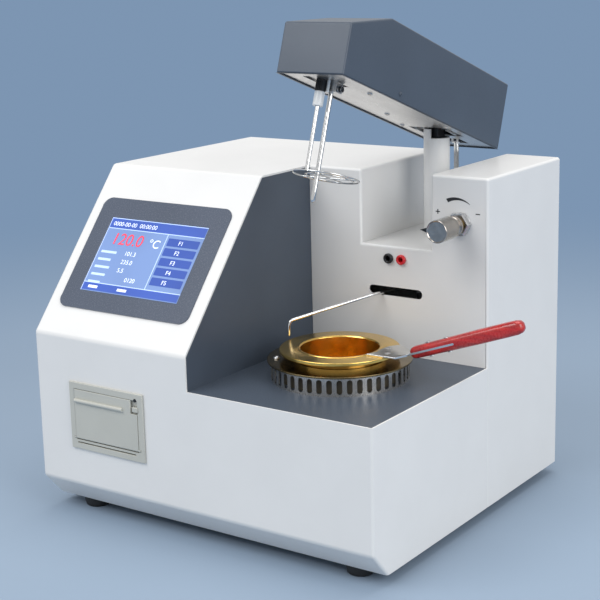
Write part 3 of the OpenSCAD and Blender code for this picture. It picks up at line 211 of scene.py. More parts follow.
RED = coating("red_moulding", (0.66, 0.012, 0.018), 0.24, 0.06, 1.0, 0.004, coat=0.4)
BEZEL = coating("bezel_film", (0.066, 0.084, 0.122), 0.26, 0.04, 0.9, 0.004, coat=0.5)
PRINTER = coating("printer_moulding", (0.52, 0.52, 0.47), 0.40, 0.03, 0.7, 0.02)
PAPER = coating("paper", (0.83, 0.83, 0.80), 0.85, 0.03, 0.5, 0.02)
CUP_BRASS = turned_metal("turned_brass", (0.86, 0.57, 0.16), 0.19, cup_axis, 0.45, 0.010, change=0.07)
PLATE_BRONZE = turned_metal("heated_bronze", (0.23, 0.17, 0.085), 0.16, cup_axis, 0.7, 0.012, change=0.22)
VALVE_BRASS = coating("valve_brass", (0.62, 0.42, 0.14), 0.32, 0.10, 1.8, 0.015, metal=1.0, patch=8.0)
ALLOY = coating("cast_alloy", (0.42, 0.41, 0.39), 0.5, 0.12, 1.2, 0.05, metal=1.0, patch=10.0)
# The heater band's dark brown is partly the mica's own colour and partly painted shade, so the insides of the
# guard's slots look dark.
MICA_AND_SLOT_SHADE = coating("mica_band", (0.10, 0.085, 0.06), 0.6, 0.15, 1.5, 0.03)
COLUMN_WHITE = coating("column_white", (0.76, 0.76, 0.75), 0.34, 0.02, 1.2, 0.01, coat=0.15)
CERAMIC = coating("white_ceramic", (0.84, 0.84, 0.82), 0.28, 0.03, 0.9, 0.006, coat=0.3)
POLYMER = coating("bush_polymer", (0.68, 0.58, 0.32), 0.55, 0.06, 0.9, 0.02)
MOTOR = coating("motor_paint", (0.05, 0.05, 0.055), 0.42, 0.15, 0.9, 0.02)
BOARD = coating("board_green", (0.015, 0.11, 0.045), 0.36, 0.15, 0.7, 0.01)
MARK = coating("printed_black", (0.02, 0.02, 0.022), 0.5, 0.1, 0.6, 0.0)


def handle_finish():
    """Red lacquer over a grain that runs along the grip."""
    skin, nodes, links, shader, where = new_finish("red_lacquer")
    mapping = nodes.new("ShaderNodeMapping")
    mapping.inputs["Rotation"].default_value = (0, HANDLE_PITCH, -HANDLE_ANGLE)
    mapping.inputs["Scale"].default_value = (0.10, 1.0, 1.0)
    links.new(where, mapping.inputs["Vector"])
    streaks = cloud(nodes, links, mapping.outputs["Vector"], 3.0, 5.0)
    tone = two_tone(nodes, links, streaks, (0.56, 0.022, 0.018), (0.27, 0.008, 0.010), 0.32, 0.68)
    links.new(tone, shader.inputs["Base Color"])
    dimples = cloud(nodes, links, where, 1.6, 3.0)
    links.new(spread(nodes, links, dimples, 0.22, 0.36), shader.inputs["Roughness"])
    relief(nodes, links, shader, dimples, 0.09)
    shader.inputs["Coat Weight"].default_value = 0.5
    shader.inputs["Coat Roughness"].default_value = 0.15
    return skin


HANDLE_RED = handle_finish()

NODE_FINISH = {
    "base_tray": ZINC, "bay_liner": SLATE, "rear_panel": WHITE, "cabinet_screws": SCREW_STEEL,
    "cup_rivets": SCREW_STEEL, "touch_screen": BLACK, "printer_lamp": BLACK, "platen_roller": RUBBER,
    "paper_roll": PAPER, "valve_body": VALVE_BRASS, "heater_guard": GUARD_STEEL, "heater_block": ALLOY,
    "heater_band": MICA_AND_SLOT_SHADE, "lift_nut": VALVE_BRASS, "hinge_block": BLACK, "hinge_pin": SCREW_STEEL,
    "slide_bushes": POLYMER, "rod_clevis": ZINC, "clevis_pin": SCREW_STEEL, "head_base_plate": BRUSHED,
    "head_brackets": ZINC, "tube_hub": ZINC, "sweep_motor": MOTOR, "motor_bracket": ZINC,
    "lift_motor": MOTOR, "lift_screw": SCREW_STEEL, "control_board": BOARD, "power_supply": ZINC,
    "power_inlet": BLACK, "power_switch": BLACK, "fan_frame": BLACK, "fan_rotor": BLACK,
}
for node, skin in NODE_FINISH.items():
    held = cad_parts[node].data
    held.materials.clear()
    held.materials.append(skin)


# Making pieces

def piece(name, mesh, skin, body, stands_for=(), crisp=35.0, level=False):
    made = bpy.data.objects.new(name, mesh)
    bpy.context.scene.collection.objects.link(made)
    mesh.materials.clear()
    mesh.materials.append(skin)
    mesh.shade_smooth()
    mesh.set_sharp_from_angle(angle=math.radians(crisp))
    if level:
        made.modifiers.new("level", "WEIGHTED_NORMAL").keep_sharp = True
    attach(made, body)
    if stands_for:
        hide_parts(*stands_for)
    return made


def to_mesh(bm, name, place=None):
    mesh = bpy.data.meshes.new(name)
    bm.to_mesh(mesh)
    bm.free()
    if place is not None:
        mesh.transform(place)
    return mesh


def solid_copy(node):
    """The solid's own faces, joined up and with its flat faces made whole."""
    bm = bmesh.new()
    bm.from_mesh(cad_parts[node].data)
    bmesh.ops.remove_doubles(bm, verts=bm.verts, dist=2e-6)
    bmesh.ops.dissolve_limit(bm, angle_limit=math.radians(0.6), verts=bm.verts, edges=bm.edges)
    return bm


def bend_edges(bm, least_area, least_length, inner=(), least_turn=18.0):
    """The outer bends between two broad faces; inner has the planes in which a sheet's inner corners lie."""
    found = []
    into_cabinet = TO_CABINET.inverted()
    for edge in bm.edges:
        if len(edge.link_faces) != 2 or not edge.is_convex or edge.calc_length() < least_length * MM:
            continue
        if edge.calc_face_angle(0) < math.radians(least_turn):
            continue
        if min(f.calc_area() for f in edge.link_faces) < least_area * MM * MM:
            continue
        ends = [into_cabinet @ v.co for v in edge.verts]
        if any(all(abs(end[axis] - at) < 0.05 for end in ends) for axis, at in inner):
            continue
        found.append(edge)
    return found


def rounded_copy(name, node, skin, body, radius, least_area, least_length, segments=4, inner=()):
    """The solid's own shape with its outer bends rounded."""
    bm = solid_copy(node)
    bends = bend_edges(bm, least_area, least_length, inner)
    bmesh.ops.bevel(bm, geom=bends, offset=radius * MM, segments=segments, profile=0.5, affect="EDGES",
                    clamp_overlap=False)
    return piece(name, to_mesh(bm, name), skin, body, (node,), 35.0, True)


def eased(points, radius, steps=4, closed=False):
    """The same line with its corners rounded."""
    points = [Vector(p) for p in points]
    count = len(points)
    line = []
    for i, corner in enumerate(points):
        if not closed and i in (0, count - 1):
            line.append(corner)
            continue
        before, after = points[i - 1] - corner, points[(i + 1) % count] - corner
        cut = min(radius, before.length * 0.45, after.length * 0.45)
        a, b = corner + before.normalized() * cut, corner + after.normalized() * cut
        for k in range(steps + 1):
            t = k / steps
            line.append(a * (1 - t) ** 2 + corner * 2 * t * (1 - t) + b * t ** 2)
    return line


def lathe(name, outline, place, steps=96, radius=0.0, closed=True):
    """Turns an outline of radius and height round Z."""
    line = eased(outline, radius, 3, closed) if radius else [Vector(p) for p in outline]
    bm = bmesh.new()
    rows = []
    for p in line:
        if p[0] < 1e-6:
            rows.append([bm.verts.new((0, 0, p[1]))])
        else:
            rows.append([bm.verts.new((p[0] * math.cos(a), p[0] * math.sin(a), p[1]))
                         for a in (2 * math.pi * k / steps for k in range(steps))])
    spans = range(len(rows)) if closed else range(len(rows) - 1)
    for i in spans:
        low, high = rows[i], rows[(i + 1) % len(rows)]
        for k in range(steps):
            ring = [low[k % len(low)], low[(k + 1) % len(low)], high[(k + 1) % len(high)], high[k % len(high)]]
            ring = list(dict.fromkeys(ring))
            if len(ring) > 2:
                bm.faces.new(ring)
    bmesh.ops.remove_doubles(bm, verts=bm.verts, dist=1e-5)
    bmesh.ops.recalc_face_normals(bm, faces=bm.faces)
    return to_mesh(bm, name, place)


def tube(bm, path, radius, sides=16, closed=False):
    """A round bar along a path, with closed ends; radius may be a list."""
    path = [Vector(p) for p in path]
    count = len(path)
    radii = radius if isinstance(radius, (list, tuple)) else [radius] * count
    across = None
    rows = []
    for i, p in enumerate(path):
        ahead = path[(i + 1) % count] if closed or i < count - 1 else p + (p - path[i - 1])
        behind = path[i - 1] if closed or i > 0 else p - (path[1] - p)
        along = (ahead - behind).normalized()
        if across is None:
            across = along.orthogonal().normalized()
        across = (across - along * across.dot(along)).normalized()
        other = along.cross(across)
        rows.append([bm.verts.new(p + (across * math.cos(a) + other * math.sin(a)) * radii[i])
                     for a in (2 * math.pi * k / sides for k in range(sides))])
    for i in range(count if closed else count - 1):
        low, high = rows[i], rows[(i + 1) % count]
        for k in range(sides):
            bm.faces.new([low[k], low[(k + 1) % sides], high[(k + 1) % sides], high[k]])
    if not closed:
        bm.faces.new(list(reversed(rows[0])))
        bm.faces.new(rows[-1])


def circle_path(centre, radius, steps=72):
    return [(centre[0] + radius * math.cos(a), centre[1] + radius * math.sin(a), centre[2])
            for a in (2 * math.pi * k / steps for k in range(steps))]


def plate(bm, outline, low, high):
    """A flat plate from an outline in X and Y."""
    bottom = [bm.verts.new((p[0], p[1], low)) for p in outline]
    top = [bm.verts.new((p[0], p[1], high)) for p in outline]
    bm.faces.new(list(reversed(bottom)))
    bm.faces.new(top)
    for i in range(len(outline)):
        k = (i + 1) % len(outline)
        bm.faces.new([bottom[i], bottom[k], top[k], top[i]])


def block(x0, x1, y0, y1):
    return [(x0, y0), (x1, y0), (x1, y1), (x0, y1)]


# Geometry Nodes for what repeats

def tree_with(name, inputs):
    tree = bpy.data.node_groups.new(name, "GeometryNodeTree")
    for label, kind, value in inputs:
        socket = tree.interface.new_socket(name=label, in_out="INPUT", socket_type=kind)
        if value is not None:
            socket.default_value = value
    tree.interface.new_socket(name="Geometry", in_out="OUTPUT", socket_type="NodeSocketGeometry")
    return tree, tree.nodes, tree.links, tree.nodes.new("NodeGroupInput"), tree.nodes.new("NodeGroupOutput")


def end_tree(tree, instances, start, finish):
    """Makes the copies real and gives them their finish."""
    real = tree.nodes.new("GeometryNodeRealizeInstances")
    paint = tree.nodes.new("GeometryNodeSetMaterial")
    tree.links.new(instances, real.inputs["Geometry"])
    tree.links.new(real.outputs["Geometry"], paint.inputs["Geometry"])
    tree.links.new(start.outputs["Finish"], paint.inputs["Material"])
    tree.links.new(paint.outputs["Geometry"], finish.inputs["Geometry"])


def ring_tree():
    """Copies of one shape round Z, each facing outwards."""
    tree, nodes, links, start, finish = tree_with("copies_round_an_axis", [
        ("Shape", "NodeSocketObject", None), ("Count", "NodeSocketInt", 24),
        ("Radius", "NodeSocketFloat", 10.0), ("Finish", "NodeSocketMaterial", None)])
    ring = nodes.new("GeometryNodeMeshCircle")
    links.new(start.outputs["Count"], ring.inputs["Vertices"])
    links.new(start.outputs["Radius"], ring.inputs["Radius"])
    shape = nodes.new("GeometryNodeObjectInfo")
    links.new(start.outputs["Shape"], shape.inputs["Object"])
    outwards = nodes.new("FunctionNodeAlignRotationToVector")
    outwards.axis = "X"
    position = nodes.new("GeometryNodeInputPosition")
    links.new(position.outputs["Position"], outwards.inputs["Vector"])
    copies = nodes.new("GeometryNodeInstanceOnPoints")
    links.new(ring.outputs["Mesh"], copies.inputs["Points"])
    links.new(shape.outputs["Geometry"], copies.inputs["Instance"])
    links.new(outwards.outputs["Rotation"], copies.inputs["Rotation"])
    end_tree(tree, copies.outputs["Instances"], start, finish)
    return tree


def points_tree():
    """Copies of one shape on the points of a mesh, all turned the same way."""
    tree, nodes, links, start, finish = tree_with("copies_on_points", [
        ("Geometry", "NodeSocketGeometry", None), ("Shape", "NodeSocketObject", None),
        ("Turn", "NodeSocketRotation", None), ("Finish", "NodeSocketMaterial", None)])
    shape = nodes.new("GeometryNodeObjectInfo")
    links.new(start.outputs["Shape"], shape.inputs["Object"])
    copies = nodes.new("GeometryNodeInstanceOnPoints")
    links.new(start.outputs["Geometry"], copies.inputs["Points"])
    links.new(shape.outputs["Geometry"], copies.inputs["Instance"])
    links.new(start.outputs["Turn"], copies.inputs["Rotation"])
    end_tree(tree, copies.outputs["Instances"], start, finish)
    return tree


def row_tree():
    """Copies of one shape along a straight row."""
    tree, nodes, links, start, finish = tree_with("copies_in_a_row", [
        ("Shape", "NodeSocketObject", None), ("Count", "NodeSocketInt", 5),
        ("Step", "NodeSocketVector", None), ("Finish", "NodeSocketMaterial", None)])
    row = nodes.new("GeometryNodeMeshLine")
    links.new(start.outputs["Count"], row.inputs["Count"])
    links.new(start.outputs["Step"], row.inputs["Offset"])
    shape = nodes.new("GeometryNodeObjectInfo")
    links.new(start.outputs["Shape"], shape.inputs["Object"])
    copies = nodes.new("GeometryNodeInstanceOnPoints")
    links.new(row.outputs["Mesh"], copies.inputs["Points"])
    links.new(shape.outputs["Geometry"], copies.inputs["Instance"])
    end_tree(tree, copies.outputs["Instances"], start, finish)
    return tree


ROUND_AN_AXIS, ON_POINTS, IN_A_ROW = ring_tree(), points_tree(), row_tree()


def grown(name, tree, values, place, seed=None):
    """Runs a tree once and keeps its result as a plain mesh."""
    holder = bpy.data.objects.new(name + "_seed", seed or bpy.data.meshes.new(name + "_seed"))
    bpy.context.scene.collection.objects.link(holder)
    modifier = holder.modifiers.new("copies", "NODES")
    modifier.node_group = tree
    for item in tree.interface.items_tree:
        if item.item_type == "SOCKET" and item.in_out == "INPUT" and item.name in values:
            modifier[item.identifier] = values[item.name]
    holder.update_tag()
    bpy.context.view_layer.update()
    mesh = bpy.data.meshes.new_from_object(holder.evaluated_get(bpy.context.evaluated_depsgraph_get()))
    holder.modifiers.clear()
    bpy.data.objects.remove(holder)
    mesh.transform(place)
    return mesh


def pattern(name, mesh):
    """A shape that only the trees copy."""
    made = bpy.data.objects.new(name, mesh)
    bpy.context.scene.collection.objects.link(made)
    return made


def join_meshes(name, meshes):
    bm = bmesh.new()
    for mesh in meshes:
        bm.from_mesh(mesh)
    return to_mesh(bm, name)


def pan_head(radius):
    """A domed screw head with a cross cut in it, and a short shank."""
    high = radius * 1.1 / 1.9
    bm = bmesh.new()
    outline = [
        (0.001, high * 0.45), (radius * 0.30, high * 0.55), (radius * 0.42, high * 0.97),
        (radius * 0.75, high * 0.78), (radius * 0.94, high * 0.45), (radius, high * 0.15), (radius, 0.0),
        (radius * 0.52, 0.0), (radius * 0.52, -radius), (0.001, -radius)]
    steps = 24
    rows = []
    for r, z in outline:
        ring = []
        for k in range(steps):
            a = 2 * math.pi * k / steps
            cross = 0.55 + 0.45 * abs(math.cos(2 * a)) if 0.001 < r < radius * 0.5 else 1.0
            ring.append(bm.verts.new((r * cross * math.cos(a), r * cross * math.sin(a), z)))
        rows.append(ring)
    for low, up in zip(rows, rows[1:]):
        for k in range(steps):
            bm.faces.new([low[k], low[(k + 1) % steps], up[(k + 1) % steps], up[k]])
    bmesh.ops.remove_doubles(bm, verts=bm.verts, dist=0.01)
    bmesh.ops.recalc_face_normals(bm, faces=bm.faces)
    return pattern("screw_pattern", to_mesh(bm, "screw_pattern"))


def screws(name, points, radius, turn, place):
    head = pan_head(radius)
    seed = bpy.data.meshes.new(name + "_points")
    seed.from_pydata([tuple(p) for p in points], [], [])
    mesh = grown(name, ON_POINTS, {"Shape": head, "Turn": turn, "Finish": SCREW_STEEL}, place, seed)
    bpy.data.objects.remove(head)
    return mesh


# Cabinet

TOWER_INNER = ((0, 333.5), (2, 212.3))
for part, inner in (("console", ()), ("deck", ()), ("tower", TOWER_INNER)):
    rounded_copy(part + "_skin", part + "_shell", WHITE, "cabinet", CABINET_BEND, BROAD_FACE, LONG_EDGE,
                 inner=inner)
rounded_copy("feet", "rubber_feet", RUBBER, "cabinet", 0.8, 5, 1.0, 3)


# Screen

SCREEN_BLUE = glow("screen_blue", (0.14, 0.22, 0.43), 0.5)
SCREEN_BAR = glow("screen_bar", (0.030, 0.075, 0.33), 0.6)
SCREEN_KEY = glow("screen_key", (0.022, 0.060, 0.28), 0.6)
SCREEN_LINE = glow("screen_line", (0.42, 0.54, 0.85), 0.6)
SCREEN_WHITE = glow("screen_white", (0.72, 0.78, 0.92), 0.6)
SCREEN_RED = glow("screen_red", (0.72, 0.05, 0.09), 0.6)

LCD = (29.2, 133.8, 43.4, 114.0)


def on_screen(name, outlines, skin, low, high):
    bm = bmesh.new()
    for outline in outlines:
        plate(bm, outline, low, high)
    return piece(name, to_mesh(bm, name, ON_SLOPE), skin, "cabinet", ())


def numerals(name, body, size, x, y, skin, lean=0.0, z=0.82):
    """Plain digits, laid on the screen."""
    curve = bpy.data.curves.new(name + "_line", "FONT")
    curve.body = body
    curve.size = size
    curve.extrude = 0.02
    curve.shear = lean
    holder = bpy.data.objects.new(name + "_line", curve)
    bpy.context.scene.collection.objects.link(holder)
    bpy.context.view_layer.update()
    mesh = bpy.data.meshes.new_from_object(holder.evaluated_get(bpy.context.evaluated_depsgraph_get()))
    bpy.data.objects.remove(holder)
    mesh.transform(ON_SLOPE @ Matrix.Translation((x, y, z)))
    return piece(name, mesh, skin, "cabinet", ())


rounded_copy("screen_surround", "screen_bezel", BEZEL, "cabinet", 0.45, 8, 0.4, 3)
on_screen("screen_picture", [block(LCD[0], LCD[1], LCD[2], LCD[3])], SCREEN_BLUE, 0.30, 0.66)
on_screen("screen_bars", [
    block(LCD[0] + 0.6, LCD[1] - 0.6, 104.4, 113.2), block(LCD[0] + 0.6, LCD[1] - 0.6, 44.2, 51.0)],
    SCREEN_BAR, 0.6, 0.72)
on_screen("screen_lines", [
    block(LCD[0], LCD[1], 103.6, 104.3), block(LCD[0], LCD[1], 51.1, 51.8), block(95.5, 96.2, 51.8, 103.6),
    block(LCD[0], LCD[1], 113.3, 114.0), block(LCD[0], LCD[0] + 0.6, 43.4, 114.0)], SCREEN_LINE, 0.6, 0.74)
key_shape = bmesh.new()
plate(key_shape, eased([(0, 0), (33.2, 0), (33.2, 7.3), (0, 7.3)], 0.8, 3, True), 0.6, 0.76)
key_pattern = pattern("key_pattern", to_mesh(key_shape, "key_pattern"))
KEY_STEP = 9.25
key_values = {"Shape": key_pattern, "Count": 5, "Step": (0, -KEY_STEP, 0), "Finish": SCREEN_KEY}
key_mesh = grown("screen_keys", IN_A_ROW, key_values, ON_SLOPE @ Matrix.Translation((98.2, 93.2, 0)))
piece("screen_keys", key_mesh, SCREEN_KEY, "cabinet", ())
bpy.data.objects.remove(key_pattern)
numerals("screen_clock", "0000-00-00  00:00:00", 5.6, 33.0, 106.6, SCREEN_WHITE)
numerals("screen_reading", "120.0", 15.5, 38.5, 89.0, SCREEN_RED, 0.05)
numerals("screen_unit", "°C", 11.0, 79.5, 89.5, SCREEN_WHITE)
for i, value in enumerate(["101.3", "235.0", "5.5", "0120"]):
    numerals("screen_value_%d" % i, value, 5.6, 59.0 + (12 if i == 3 else 0), 79.5 - i * 8.0, SCREEN_WHITE)
for i in range(5):
    numerals("screen_key_%d" % i, "F%d" % (i + 1), 5.4, 110.0, 94.8 - i * KEY_STEP, SCREEN_WHITE)
LABEL_X, LABEL_Z, LABEL_STEP, LABEL_HIGH = 33.0, 80.0, 7.2, 2.2
bar_shapes = [block(LABEL_X, LABEL_X + w, LABEL_Z - i * LABEL_STEP, LABEL_Z + LABEL_HIGH - i * LABEL_STEP)
              for i, w in enumerate([17, 14, 16, 15, 13])]
on_screen("screen_labels", bar_shapes, SCREEN_LINE, 0.6, 0.76)
on_screen("screen_tabs", [block(36, 46, 46.4, 48.8), block(68, 78, 46.4, 48.8)], SCREEN_WHITE, 0.6, 0.78)


# Printer

rounded_copy("printer_surround", "printer_frame", PRINTER, "cabinet", 0.6, 60, 8, 3)
rounded_copy("printer_flap", "printer_door", PRINTER, "printer_door", 0.35, 20, 3, 3)
rounded_copy("printer_key", "feed_button", PRINTER, "feed_button", 0.5, 10, 2, 3)


# Lead sockets

def socket(name, node, skin, slot, x):
    place = from_cabinet(x, WALL_Y, SOCKETS_Z) @ OUT_OF_WALL
    outline = [(2.0, -11), (3.1, -11), (3.1, 0.0), (4.3, 0.2), (4.3, 2.2), (3.6, 3.0), (2.6, 3.0), (2.0, 2.4)]
    mesh = lathe(name, outline, place, 48, 0.35)
    nut = lathe(name + "_nut", [(3.2, -4.6), (5.0, -4.6), (5.0, -1.7), (3.2, -1.7)], place, 6)
    return piece(name, join_meshes(name, [mesh, nut]), skin, "cabinet", (node,))


socket("socket_black", "black_socket", BLACK, "black_plastic", 241.9)
socket("socket_red", "red_socket", RED, "red_plastic", 254.3)


# Gas valve

def knob():
    place = from_cabinet(VALVE[0], WALL_Y, VALVE[1]) @ OUT_OF_WALL
    core = lathe("core", [
        (0, 38.6), (8.0, 38.6), (8.3, 38.9), (8.6, 39.4), (9.0, 39.4), (9.25, 39.0), (9.1, 38.5), (9.0, 17.9),
        (8.5, 17.4), (7.6, 17.3), (7.0, 16.2), (6.8, 14.2), (7.6, 13.6), (8.5, 13.4), (8.7, 12.8), (8.6, 11.2),
        (7.6, 10.6), (6.0, 10.5), (2.0, 10.4), (2.0, -8), (0, -8)], place, 72, 0.0, False)
    bm = bmesh.new()
    plate(bm, [(-0.2, -0.16), (0.26, 0.0), (-0.2, 0.16)], 18.0, 38.2)
    ridge = pattern("ridge_pattern", to_mesh(bm, "ridge_pattern"))
    values = {"Shape": ridge, "Count": 80, "Radius": 9.02, "Finish": KNURL}
    ridges = grown("ridges", ROUND_AN_AXIS, values, place)
    bpy.data.objects.remove(ridge)
    piece("flame_knob", core, KNOB_STEEL, "valve_knob", ("valve_knob",), 30.0)
    piece("flame_knob_grip", ridges, KNURL, "valve_knob", (), 20.0)
    rounded_copy("knob_wedge", "knob_pointer", BLACK, "valve_knob", 0.3, 1, 0.5, 2)
    nut = lathe("valve_collar", [(5.3, 0.2), (9.5, 0.2), (9.5, 0.7), (9.2, 1.0), (5.3, 1.0)], place, 64, 0.2)
    turned = place @ Matrix.Rotation(math.radians(3), 4, "Z")
    hexagon = lathe("valve_hexagon", [(5.3, 1.0), (10.39, 1.0), (10.39, 5.2), (9.2, 6.0), (5.3, 6.0)], turned, 6)
    ring = join_meshes("valve_ring", [nut, hexagon])
    piece("valve_ring", ring, SCREW_STEEL, "cabinet", ("valve_nut",), 25.0)


knob()


def dial_marks():
    """The wedge-shaped arc over the valve, with a plus for a large flame and a minus for a small one."""
    steps, start, end = 20, math.radians(124), math.radians(62)
    outer, inner = [], []
    for k in range(steps + 1):
        t = k / steps
        a = start + (end - start) * t
        thick = 2.4 * (1 - t) + 0.25
        radius = 20.8 - 2.6 * t
        outer.append((math.cos(a) * (radius + thick), math.sin(a) * (radius + thick)))
        inner.append((math.cos(a) * (radius - thick * 0.25), math.sin(a) * (radius - thick * 0.25)))
    bm = bmesh.new()
    for k in range(steps):
        plate(bm, [inner[k], inner[k + 1], outer[k + 1], outer[k]], 0.02, 0.12)
    for x, y, upright in [(-20.8, 8.5, True), (15.8, 9.0, False)]:
        plate(bm, block(x - 2.0, x + 2.0, y - 0.4, y + 0.4), 0.02, 0.12)
        if upright:
            plate(bm, block(x - 0.4, x + 0.4, y - 2.0, y + 2.0), 0.03, 0.13)
    bmesh.ops.recalc_face_normals(bm, faces=bm.faces)
    place = from_cabinet(VALVE[0], WALL_Y, VALVE[1]) @ OUT_OF_WALL
    piece("valve_marks", to_mesh(bm, "valve_marks", place), MARK, "cabinet", ())


dial_marks()


# Heater and cup

rounded_copy("heater_top", "heater_plate", PLATE_BRONZE, "cabinet", 0.35, 3, 0.4, 3)
piece("heater_top_screws", screws("heater_top_screws", [
    (51 * math.cos(math.radians(a)), 51 * math.sin(math.radians(a)), 137.1) for a in (35, 215)],
    2.85, Euler((0, 0, 0)), AT_CUP), SCREW_STEEL, "cabinet", ("heater_screws",))
piece("cup", lathe("cup", [
    (0, 109.0), (32.5, 109.0), (34, 110.5), (34, 135.0), (37, 135.0), (37, 142.4), (48.2, 142.4), (48.6, 142.8),
    (48.6, 145.0), (48.2, 145.4), (34.15, 145.4), (33.75, 146.0), (32.55, 146.0), (31.75, 145.0),
    (31.75, 113.8), (29.8, 111.8), (0, 111.8)],
    AT_CUP, 128, 0.25), CUP_BRASS, "cup", ("test_cup",), 30.0)


def cup_grip():
    """A slim red grip that swells towards its round end."""
    bm = bmesh.new()
    stations = [
        (-4.9, 1.2, 1.2), (-4.4, 2.5, 2.5), (-2.8, 4.1, 4.1), (0, 5.0, 4.9), (25, 5.35, 5.2), (55, 5.7, 5.6),
        (80, 5.7, 5.6), (87.5, 5.55, 5.45), (90.8, 4.7, 4.6), (92.6, 3.0, 2.9), (93.2, 1.3, 1.3)]
    sides = 32
    rows = []
    for x, ry, rz in stations:
        ring = []
        for k in range(sides):
            a = 2 * math.pi * (k + 0.5) / sides
            c, s = math.cos(a), math.sin(a)
            square = (abs(c) ** 3.0 + abs(s) ** 3.0) ** (-1 / 3.0)
            y, z = ry * c * square, rz * s * square
            ring.append(bm.verts.new((x, y, z)))
        rows.append(ring)
    for low, up in zip(rows, rows[1:]):
        for k in range(sides):
            bm.faces.new([low[k], low[(k + 1) % sides], up[(k + 1) % sides], up[k]])
    bm.faces.new(list(reversed(rows[0])))
    bm.faces.new(rows[-1])
    bmesh.ops.recalc_face_normals(bm, faces=bm.faces)
    grip = to_mesh(bm, "cup_grip", ALONG_GRIP)
    piece("cup_grip", grip, HANDLE_RED, "cup", ("cup_handle",), 60.0)


cup_grip()
rounded_copy("cup_tang", "cup_bracket", BRIGHT, "cup", 0.3, 3, 0.6, 2)
strip = bmesh.new()
for side in (-1, 1):
    plate(strip, [(-4, side * 5.0), (35, side * 5.5), (35, side * 4.0), (-4, side * 4.0)], -0.8, 0.8)
bmesh.ops.recalc_face_normals(strip, faces=strip.faces)
piece("cup_tang_edges", to_mesh(strip, "cup_tang_edges", ALONG_GRIP), BRIGHT, "cup", ())


# Head

rounded_copy("head_casing", "head_cover", HEAD_BLUE, "head", 1.5, 60, 8, 4)
plate_screws = [(15.5, -197.9, 1.0), (-11.9, -124.4, 1.0), (-21.6, -82, 1.0), (21.6, -82, 1.0)]
piece("head_plate_screws", screws("head_plate_screws", plate_screws, 2.3, Euler((math.pi, 0, 0)), IN_HEAD),
      SCREW_STEEL, "head", ("head_screws",))
for side, name in ((-1, "head_left_screw"), (1, "head_right_screw")):
    turn = Euler((0, side * math.pi / 2, 0))
    mesh = screws(name, [(side * 30.25, -177.5, 6)], 1.9, turn, IN_HEAD)
    piece(name, mesh, HEAD_BLUE, "head", ())

rod = bmesh.new()
px, py = PROBE_X, -PROBE_BACK
heights = (16, -30, -80, -PROBE_DROP + 1.9, -PROBE_DROP + 0.7, -PROBE_DROP + 0.1)
tube(rod, [(px, py, z) for z in heights],
     [PROBE_R, PROBE_R, PROBE_R, PROBE_R, 1.45, 0.6], 24)
tube(rod, [(px, py, 13), (px, py, 29)], 4.0, 24)
piece("probe_rod", to_mesh(rod, "probe_rod", IN_HEAD), BRIGHT, "head", ("temperature_probe",))

wires = bmesh.new()
rx = CUP[0] - HEAD_X
tube(wires, circle_path((rx, -RING_BACK, -RING_DROP), RING_R, 96), 0.7, 12, True)
tube(wires, circle_path((rx, -RING_BACK + 6, -RING_DROP), RING_R - 7.5, 72), 0.6, 12, True)
tube(wires, [(rx, -RING_BACK - RING_R, -RING_DROP), (rx, -RING_BACK + RING_R, -RING_DROP)], 0.6, 12)
tube(wires, [
    (rx - RING_R + 1, -RING_BACK + 6, -RING_DROP), (rx + RING_R - 1, -RING_BACK + 6, -RING_DROP)], 0.6, 12)
tube(wires, [(rx, -RING_BACK - RING_R, -RING_DROP - 0.5), (rx, -RING_BACK - RING_R, 10)], 1.6, 20)
piece("ring_wires", to_mesh(wires, "ring_wires", IN_HEAD), BRIGHT, "head", ("flash_ring",))
AT_RING_ROD = IN_HEAD @ Matrix.Translation((rx, -RING_BACK - RING_R, 0))
BESIDE_RING_ROD = AT_RING_ROD @ Matrix.Translation((4.6, 3.2, 0))
sleeve_outline = [(1.65, -18.5), (3.6, -18.5), (4.0, -18.1), (4.0, -7.4), (3.6, -7.0), (1.65, -7.0)]
sleeve = lathe("sleeve", sleeve_outline, AT_RING_ROD, 48, 0.3)
lead = lathe("lead", [(0, -6.5), (0.9, -6.5), (1.2, -6.2), (1.2, 2.2), (0, 2.2)], BESIDE_RING_ROD, 24)
sleeves = join_meshes("ring_sleeve", [sleeve, lead])
piece("ring_sleeve", sleeves, CERAMIC, "head", ("ring_insulator",))
rounded_copy("ring_terminal", "connector_block", BLACK, "head", 0.2, 1, 0.4, 2)
rounded_copy("probe_bracket", "probe_clamp", BRUSHED, "head", 0.3, 5, 1.0, 2)
BESIDE_CLAMP = (IN_HEAD @ Matrix.Translation((PROBE_X + 7, -PROBE_BACK, -2.5))
                @ Matrix.Rotation(math.pi / 2, 4, "Y"))
thumb_outline = [(0, 0.03), (2.1, 0.03), (2.45, 0.4), (2.45, 2.7), (2.1, 3.1), (0, 3.1)]
thumb = lathe("clamp_screw", thumb_outline, BESIDE_CLAMP, 32, 0.2)
piece("clamp_screw", thumb, BLACK, "head", ())


# Column, guide rod and flame tube

rounded_copy("column_sleeve", "lift_column", COLUMN_WHITE, "lift_column", 0.5, 1.0, 0.3, 3)
rod_outline = [
    (0, 125), (1.8, 125), (2.3, 125.6), (2.3, 288.6), (3.9, 288.64), (3.9, 289.4), (2.3, 289.44), (0, 289.44)]
rod_mesh = lathe("rod_polished", rod_outline, from_cabinet(HEAD_X, ROD_Y, 0), 40, 0.0, False)
piece("rod_polished", rod_mesh, BRIGHT, "guide_rod", ("guide_rod",))

